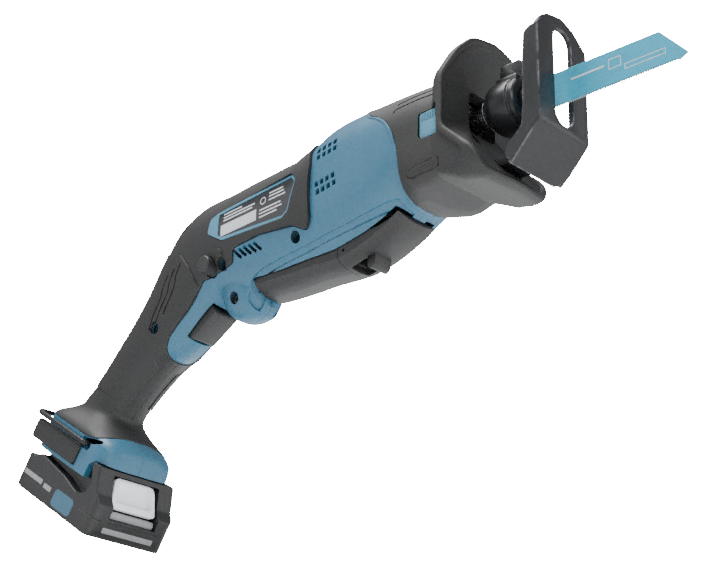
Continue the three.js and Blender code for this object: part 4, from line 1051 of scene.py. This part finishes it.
# ---- shoe bar
bar = ops(boxm(-108, -20, -9, 9, -36.8, -32.8), ("+", cyl(1, 4.2, -13.5, 13.5, (-18.8, 0, -35), 32)), ("-", cyl(1, 2.35, -40, 40, (-18.8, 0, -35), 32)))
for i in range(6):
    bar = ops(bar, ("-", boxm(-75.5 + i * 4, -73.5 + i * 4, -9.5, -6.5, -40, -30)))
finish_piece(bar, "shoe_bar_steel", "black_steel", "shoe_bar", ("shoe_bar",), bevel=0.4)

# ---- release button: ribbed
rb = prism(fillet([(WIN[0] + 0.6, WIN[2] + 0.5), (WIN[1] - 0.5, WIN[2] + 0.3), (WIN[1] - 0.5, WIN[3] - 0.4), (WIN[0] + 0.6, WIN[3] - 1.0)], 1.2, 3), -28.8, -25.2)
for i in range(7):
    x = WIN[0] + 2.0 + i * 1.75
    rb = ops(rb, ("+", prism([(x, -6.2), (x + 0.8, -6.2), (x + 0.8, -2.2), (x, -2.2)], -29.4, -28.6)))
rb = ops(rb, ("+", prism([(WIN[0] + 1.6, WIN[2] + 1.6), (WIN[1] - 1.6, WIN[2] + 1.4), (WIN[1] - 1.6, -7.2), (WIN[0] + 1.6, -7.4)], -29.1, -28.6)))
finish_piece(rb, "release_ribbed_button", "band", "release_button", ("shoe_release_button",), bevel=0.25)

# ---- LED
ld = lathe(0, (0, -11, -17.5), [(-56.5, 3.3), (-55, 3.3), (-54.9, 2.7), (-52.3, 2.7), (-51.2, 2.2), (-50.6, 1.2), (-50.45, 0.2)], 32)
finish_piece(ld, "led_lens_dome", "lens", "housing", ("led_lens",))

# ---- blade clamp, sleeve, spring
hd = ops(lathe(0, (0, 0, 0), [(-42, 2.1), (-36.75, 2.1), (-36.7, 7.6), (-36.2, 8.15), (-20.4, 8.15), (-19.6, 7.4), (-19.5, 6.5)], 48), ("-", boxm(-33, -10, -0.95, 0.95, -10.6, 10.6)))
finish_piece(hd, "blade_holder", "black_steel", "plunger", ("blade_clamp",))
sv = lathe(0, (0, 0, 0), [(-42.2, 9.8), (-42, 11.4), (-41.2, 12.9), (-39.6, 14.0), (-37, 14.5), (-27.2, 14.5), (-26.8, 13.6), (-25.8, 13.6), (-25.4, 14.0), (-23.6, 13.8), (-22.6, 12.9), (-22.2, 11.2)], 72)
tabz = prism(fillet([(-36.4, 10.5), (-23, 10.5), (-21.6, 13.8), (-23.4, 23.8), (-35.6, 23.4), (-36.6, 15)], [0, 0, 0.8, 1.2, 1.2, 1], 4), -5.3, -2.4)
sv = ops(sv, ("+", tabz), ("+", boxm(-36, -23, -9.5, -2.6, 8.6, 13.4)), ("-", cyl(0, 8.6, -50, -10, (0, 0, 0), 48)))
finish_piece(sv, "clamp_sleeve_ring", "black_steel", "sleeve", ("clamp_sleeve",), bevel=0.25, segs=2)


def tube(path, r, K=12, ends=True):
    P = np.array(path, float)
    T = np.gradient(P, axis=0)
    T /= np.linalg.norm(T, axis=1)[:, None]
    up = np.array([0, 0, 1.0]) if abs(T[0][2]) < 0.9 else np.array([1.0, 0, 0])
    n = up - T[0] * np.dot(up, T[0])
    n /= np.linalg.norm(n)
    rs = []
    for i in range(len(P)):
        n = n - T[i] * np.dot(n, T[i])
        n /= np.linalg.norm(n)
        b = np.cross(T[i], n)
        a = 2 * math.pi * np.arange(K) / K
        rs.append(P[i] + r * (np.cos(a)[:, None] * n + np.sin(a)[:, None] * b))
    return rings(rs)


hel = [(-47.5 + 8.1 * t, 8.0 * math.cos(2 * math.pi * 3.6 * t), 8.0 * math.sin(2 * math.pi * 3.6 * t)) for t in np.linspace(0, 1, 160)]
finish_piece(tube(hel, 0.75, 12), "clamp_spring_coil", "spring", "plunger", ("clamp_spring",), smooth=60)

# ---- blade: thin toothed strip with a hole
teeth = []
p = 1.41
x = -10.0
while x < 66.5:
    teeth.append((x, -9.75))
    teeth.append((x + p * 0.30, -8.75))
    teeth.append((x + p * 0.72, -9.0))
    x += p
bo = [(-32, 6.5), (-20, 6.5), (-14, 9.9), (57.4, 9.9), (58.6, 9.5), (73.2, -6.4), (73.35, -7.4), (69, -9.6), (67.5, -9.2)] + list(reversed(teeth)) + [(-12.5, -9.7), (-14, -9.7), (-20, -6.5), (-32, -6.5)]
bl = ops(prism(bo, -0.62, 0.62), ("-", cyl(1, 2.3, -5, 5, (-26, 0, 0), 24)))
paint(bl, [("blade", None), ("teeth", lambda c, n: c[2] < -8.95 or (abs(n[1]) < 0.5 and c[2] < -8.0))])
finish_piece(bl, "saw_blade", "blade", "blade", ("blade",), keep_mats=True, smooth=20)
for s, y0, y1 in ((-1, -0.68, -0.6), (1, 0.6, 0.68)):
    fr = fillet([(28, -0.5), (35.6, -0.5), (35.6, 5.4), (28, 5.4)], 0.6, 3)
    o = ops(prism(fr, y0, y1), ("-", prism(offset_poly(fr, 0.45), -2, 2)))
    finish_piece(o, "blade_mark_%d" % s, "print", "blade", ())
    o = prism(fillet([(37.5, -3.6), (61.5, -3.6), (61.5, -0.4), (37.5, -0.4)], 0.3, 2), y0, y1)
    o = ops(o, ("-", prism([(37.9, -3.2), (61.1, -3.2), (61.1, -0.8), (37.9, -0.8)], -2, 2)))
    finish_piece(o, "blade_panel_%d" % s, "print", "blade", ())
    o = prism([(5, 2.3), (25, 2.3), (25.6, 3.3), (5.4, 3.3)], y0, y1)
    finish_piece(o, "blade_stripe_%d" % s, "print", "blade", ())

# ---- foot bumpers and hook
for s, name in ((-1, "foot_bumper_right"), (1, "foot_bumper_left")):
    y0, y1 = (-29.9, -26.3) if s < 0 else (26.3, 29.9)
    bp = prismS(fillet([(-258, -300.5), (-209, -300.5), (-209, -288), (-258, -288)], [2.5, 2, 2, 3], 5), y0, y1)
    finish_piece(bp, name + "_pad", "rubber", "housing", (name,), bevel=1.0, segs=4)


def hp(s, y, h):
    x, z = sh(s, h)
    return (x, y, z)


hook = [hp(-205.5, -23.6, -285.5), hp(-205.5, -28.6, -285.5), hp(-206.5, -30.4, -285.4), hp(-209, -30.9, -285.3), hp(-230, -30.9, -285.0), hp(-252, -30.9, -284.9), hp(-258, -30, -284.9), hp(-262.2, -26, -284.9), hp(-263.4, -18, -284.9),
        hp(-263.4, 0, -284.9), hp(-263.4, 18, -284.9), hp(-262.2, 26, -284.9), hp(-258, 30, -284.9), hp(-252, 30.9, -284.9), hp(-230, 30.9, -285.0), hp(-209, 30.9, -285.3), hp(-206.5, 30.4, -285.4), hp(-205.5, 28.6, -285.5), hp(-205.5, 23.6, -285.5)]
finish_piece(tube(smooth_path(hook, 180), 1.5, 16), "hook_wire", "black_steel", "hook", ("hook_bail",), smooth=60)

# ---- battery
Bs0, Bs1, Bh0, Bw = -257.0, -170.5, -330.5, 28.8


def plan(pts, h0, h1):
    """Outline in the plane (s, y) of the battery, thick along h."""
    ax = (CU, 0, -SU)
    az_ = (SU, 0, CU)
    return prism_dir(pts, (0, 0, 0), ax, (0, 1, 0), az_, h0, h1)


rp = fillet([(Bs0, -Bw), (Bs1, -Bw), (Bs1, Bw), (Bs0, Bw)], [9, 5.5, 5.5, 9], 9)
bat = ops(prismS(fillet([(Bs0, Bh0), (Bs1 - 1.6, Bh0), (Bs1, Bh0 + 3), (Bs1, -310.5), (-176.6, -306.0), (-184.6, -290.5), (-242, -290.5), (-242, -309.0), (Bs0 + 3.5, -309.0), (Bs0, -313)],
                        [9, 1.5, 2, 2.5, 5, 3, 1, 3, 4, 5], 7), -Bw, Bw), ("&", plan(rp, -340, -270)))
# the sides narrow above the cells, with a soft shoulder
for s in (-1, 1):
    pts = [(-262, -270), (-262, -305.0), (-240, -306.0), (-212, -309.0), (-195.5, -312.6), (-187.4, -310.0), (-186.6, -302), (-191.4, -294), (-192.2, -270)]
    y0, y1 = (-45, -22.6) if s < 0 else (22.6, 45)
    bat = ops(bat, ("-", prismS(fillet(pts, [0, 0, 8, 10, 7, 6, 6, 4, 0], 6), y0, y1)))
bat = soften(bat, 0.55, 9)
tub = ops(copy(bat), ("&", boxS(-270, -160, -40, 40, -340, -319.6)), ("-", boxS(-250.6, -180.6, -27.4, 27.4, Bh0 + 1.3, -300)))
finish_piece(tub, "battery_tub", "battery", "battery", ("battery_case",), smooth=40)
lid = ops(bat, ("&", boxS(-270, -160, -40, 40, -319.45, -292)), ("-", boxS(-250.6, -180.6, -27.4, 27.4, -325, -314.2)), ("-", boxS(-239.6, -196, -20, 20, -320, -294)))
pocket = prismS([(-160, -322), (-160, -294.6), (-189, -294.6), (-182.6, -310.6), (-177.6, -316.5), (-172, -317.4)], -17.4, 17.4)
lid = ops(lid, ("-", pocket))
finish_piece(lid, "battery_top", "battery", "battery", ("battery_lid",), smooth=40)
bt = prismS(fillet([(-186.6, -295.8), (-184.0, -295.3), (-181.2, -299), (-177.6, -305.2), (-174.2, -310.6), (-173.8, -312.2), (-176.6, -313.4), (-179.8, -310.4)], [0.5, 1.2, 3, 3, 1.0, 1.0, 0.5, 0.5], 4), -16.8, 16.8)
# rounded outline seen square on, and a shallow finger scoop
e1 = np.array(sh(-176.0, -308.8)) - np.array(sh(-184.2, -295.6))
e1 = np.array([e1[0], 0, e1[1]]) / np.linalg.norm(e1)
o1 = np.array([sh(-184.2, -295.6)[0], 0, sh(-184.2, -295.6)[1]])
n1 = np.cross(e1, [0, 1, 0])
n1 = n1 if n1[0] > 0 else -n1
bt = ops(bt, ("&", prism_dir(fillet([(-0.2, -14.9), (18.5, -16.8), (18.5, 16.8), (-0.2, 14.9)], [4.5, 2.5, 2.5, 4.5], 7), o1, e1, (0, 1, 0), n1, -20, 20)))
scoop = prism_dir(fillet([(2.6, -12.4), (14.6, -13.8), (14.6, 13.8), (2.6, 12.4)], [3.6, 2.5, 2.5, 3.6], 7), o1, e1, (0, 1, 0), n1, -1.9, 5)
bt = soften(ops(bt, ("-", scoop)), 0.3, 5)
finish_piece(bt, "battery_release_button", "white", "battery_button", ("battery_button",), smooth=40)
stp = prismS(fillet([(-178.6, -313.8), (-173.2, -313.3), (-172.0, -315.6), (-173.2, -318.6), (-178.6, -318.6)], 0.4, 2), -16.4, 16.4)
finish_piece(stp, "battery_button_step", "grey", "battery", (), bevel=0.5)
# side badge: plain, one a side
for s in (-1, 1):
    y0, y1 = (-Bw - 0.12, -Bw + 0.3) if s < 0 else (Bw - 0.3, Bw + 0.12)
    bd = prismS(fillet([(-213.5, -328.2), (-192.2, -328.2), (-192.2, -317.6), (-213.5, -317.6)], 3.2, 5), y0, y1)
    finish_piece(bd, "battery_badge_%s" % ("right" if s < 0 else "left"), "badge", "battery", ())
    for k, (a, b, h) in enumerate([(-250, -229, -321.6), (-226.5, -218, -322.4)]):
        o = prismS(fillet([(a, h), (b, h), (b, h + 3.0), (a, h + 3.0)], 0.4, 2), y0 + (0.04 if s < 0 else -0.04), y1)
        finish_piece(o, "battery_bar_%s_%d" % ("right" if s < 0 else "left", k), "grey", "battery", ())
# a plain raised stripe on the front face instead of the lettering
bf = prismS(fillet([(Bs1 - 0.4, -326.2), (Bs1 + 0.15, -326.2), (Bs1 + 0.15, -322.9), (Bs1 - 0.4, -322.9)], 0.05, 1), -19, 19)
finish_piece(bf, "battery_front_stripe", "grey", "battery", ())

# ---- inner pieces keep their CAD shape, with their own finish
inside = {"gear_housing": "cast", "motor_can": "steel", "motor_magnet_upper": "dark", "motor_magnet_lower": "dark", "motor_rotor": "copper", "cooling_fan": "dark",
          "drive_pinion": "steel", "crank_gear": "steel", "plunger": "steel", "plunger_bush": "bronze", "lever_pin": "steel", "paddle_switch": "dark", "main_switch": "dark",
          "control_board": "board", "terminal_block": "dark", "battery_cell_1": "wrap", "battery_cell_2": "wrap", "battery_cell_3": "wrap", "battery_terminals": "copper"}
for n, k in inside.items():
    o = frame["nodes"][n]
    o.data.materials.clear()
    o.data.materials.append(M[k])

# leftovers
for o in list(bpy.data.objects):
    if o.name.startswith("tmp"):
        d = o.data
        bpy.data.objects.remove(o)

# ---------------------------------------------------------------- floor, light
def floor():
    m, t = nt("pale_floor")
    g = G(t)
    out = g.n("ShaderNodeOutputMaterial")
    p = g.n("ShaderNodeBsdfPrincipled")
    n1 = g.n("ShaderNodeTexNoise", in_Scale=2.0)
    r = g.n("ShaderNodeValToRGB")
    r.color_ramp.elements[0].color = (0.80, 0.81, 0.82, 1)
    r.color_ramp.elements[1].color = (0.84, 0.85, 0.86, 1)
    g.l(n1.outputs["Fac"], r.inputs[0])
    g.l(r.outputs[0], p.inputs["Base Color"])
    p.inputs["Roughness"].default_value = 0.8
    tr = g.n("ShaderNodeBsdfTransparent")
    mx = g.n("ShaderNodeMixShader")
    geo = g.n("ShaderNodeNewGeometry")
    g.l(geo.outputs["Backfacing"], mx.inputs[0])
    g.l(p.outputs[0], mx.inputs[1])
    g.l(tr.outputs[0], mx.inputs[2])
    g.l(mx.outputs[0], out.inputs[0])
    z = cad_lo.z - 0.0005
    me = bpy.data.meshes.new("floor")
    me.from_pydata([(-3, -3, z), (3, -3, z), (3, 3, z), (-3, 3, z)], [], [(0, 1, 2, 3)])
    o = bpy.data.objects.new("floor", me)
    me.materials.append(m)
    bpy.context.scene.collection.objects.link(o)
    o.visible_shadow = False


floor()


def area(name, loc, target, size, power, color=(1, 1, 1)):
    l = bpy.data.lights.new(name, "AREA")
    l.shape = "RECTANGLE"
    l.size, l.size_y = size
    l.energy = power
    l.color = color
    o = bpy.data.objects.new(name, l)
    d = Vector(target) - Vector(loc)
    o.matrix_world = Matrix.Translation(Vector(loc)) @ d.to_track_quat("-Z", "Y").to_matrix().to_4x4()
    bpy.context.scene.collection.objects.link(o)
    return o


area("key_below", (0.5, -0.3, -0.9), (0, 0, 0.1), (0.9, 0.7), 4.8)
area("side", (-0.9, -1.0, 0.5), (0, 0, 0.1), (0.8, 0.8), 2.6)
area("top", (-0.1, -0.3, 1.3), (0, 0, 0.1), (0.8, 0.8), 30.0)
area("rim", (1.2, 0.9, 0.3), (0, 0, 0.1), (0.6, 0.9), 5.0)
area("glance", (-0.62, 0.85, -0.35), (0.09, 0, 0.14), (0.7, 0.5), 7.5)
area("front_high", (0.85, -0.75, 0.62), (0.13, 0, 0.16), (0.35, 0.35), 5.0)
area("under_far", (0.5, 0.85, -0.6), (0.13, 0, 0.15), (0.5, 0.5), 6.0)

w = bpy.data.worlds.new("world")
bpy.context.scene.world = w
w.use_nodes = True
t = w.node_tree
t.nodes.clear()
g = G(t)
wo = g.n("ShaderNodeOutputWorld")
b1 = g.n("ShaderNodeBackground")
b1.inputs[0].default_value = (0.92, 0.95, 1.0, 1)
b1.inputs[1].default_value = 0.42
b2 = g.n("ShaderNodeBackground")
b2.inputs[0].default_value = (1, 1, 1, 1)
b2.inputs[1].default_value = 60.0
lp = g.n("ShaderNodeLightPath")
mx = g.n("ShaderNodeMixShader")
g.l(lp.outputs["Is Camera Ray"], mx.inputs[0])
g.l(b1.outputs[0], mx.inputs[1])
g.l(b2.outputs[0], mx.inputs[2])
g.l(mx.outputs[0], wo.inputs[0])
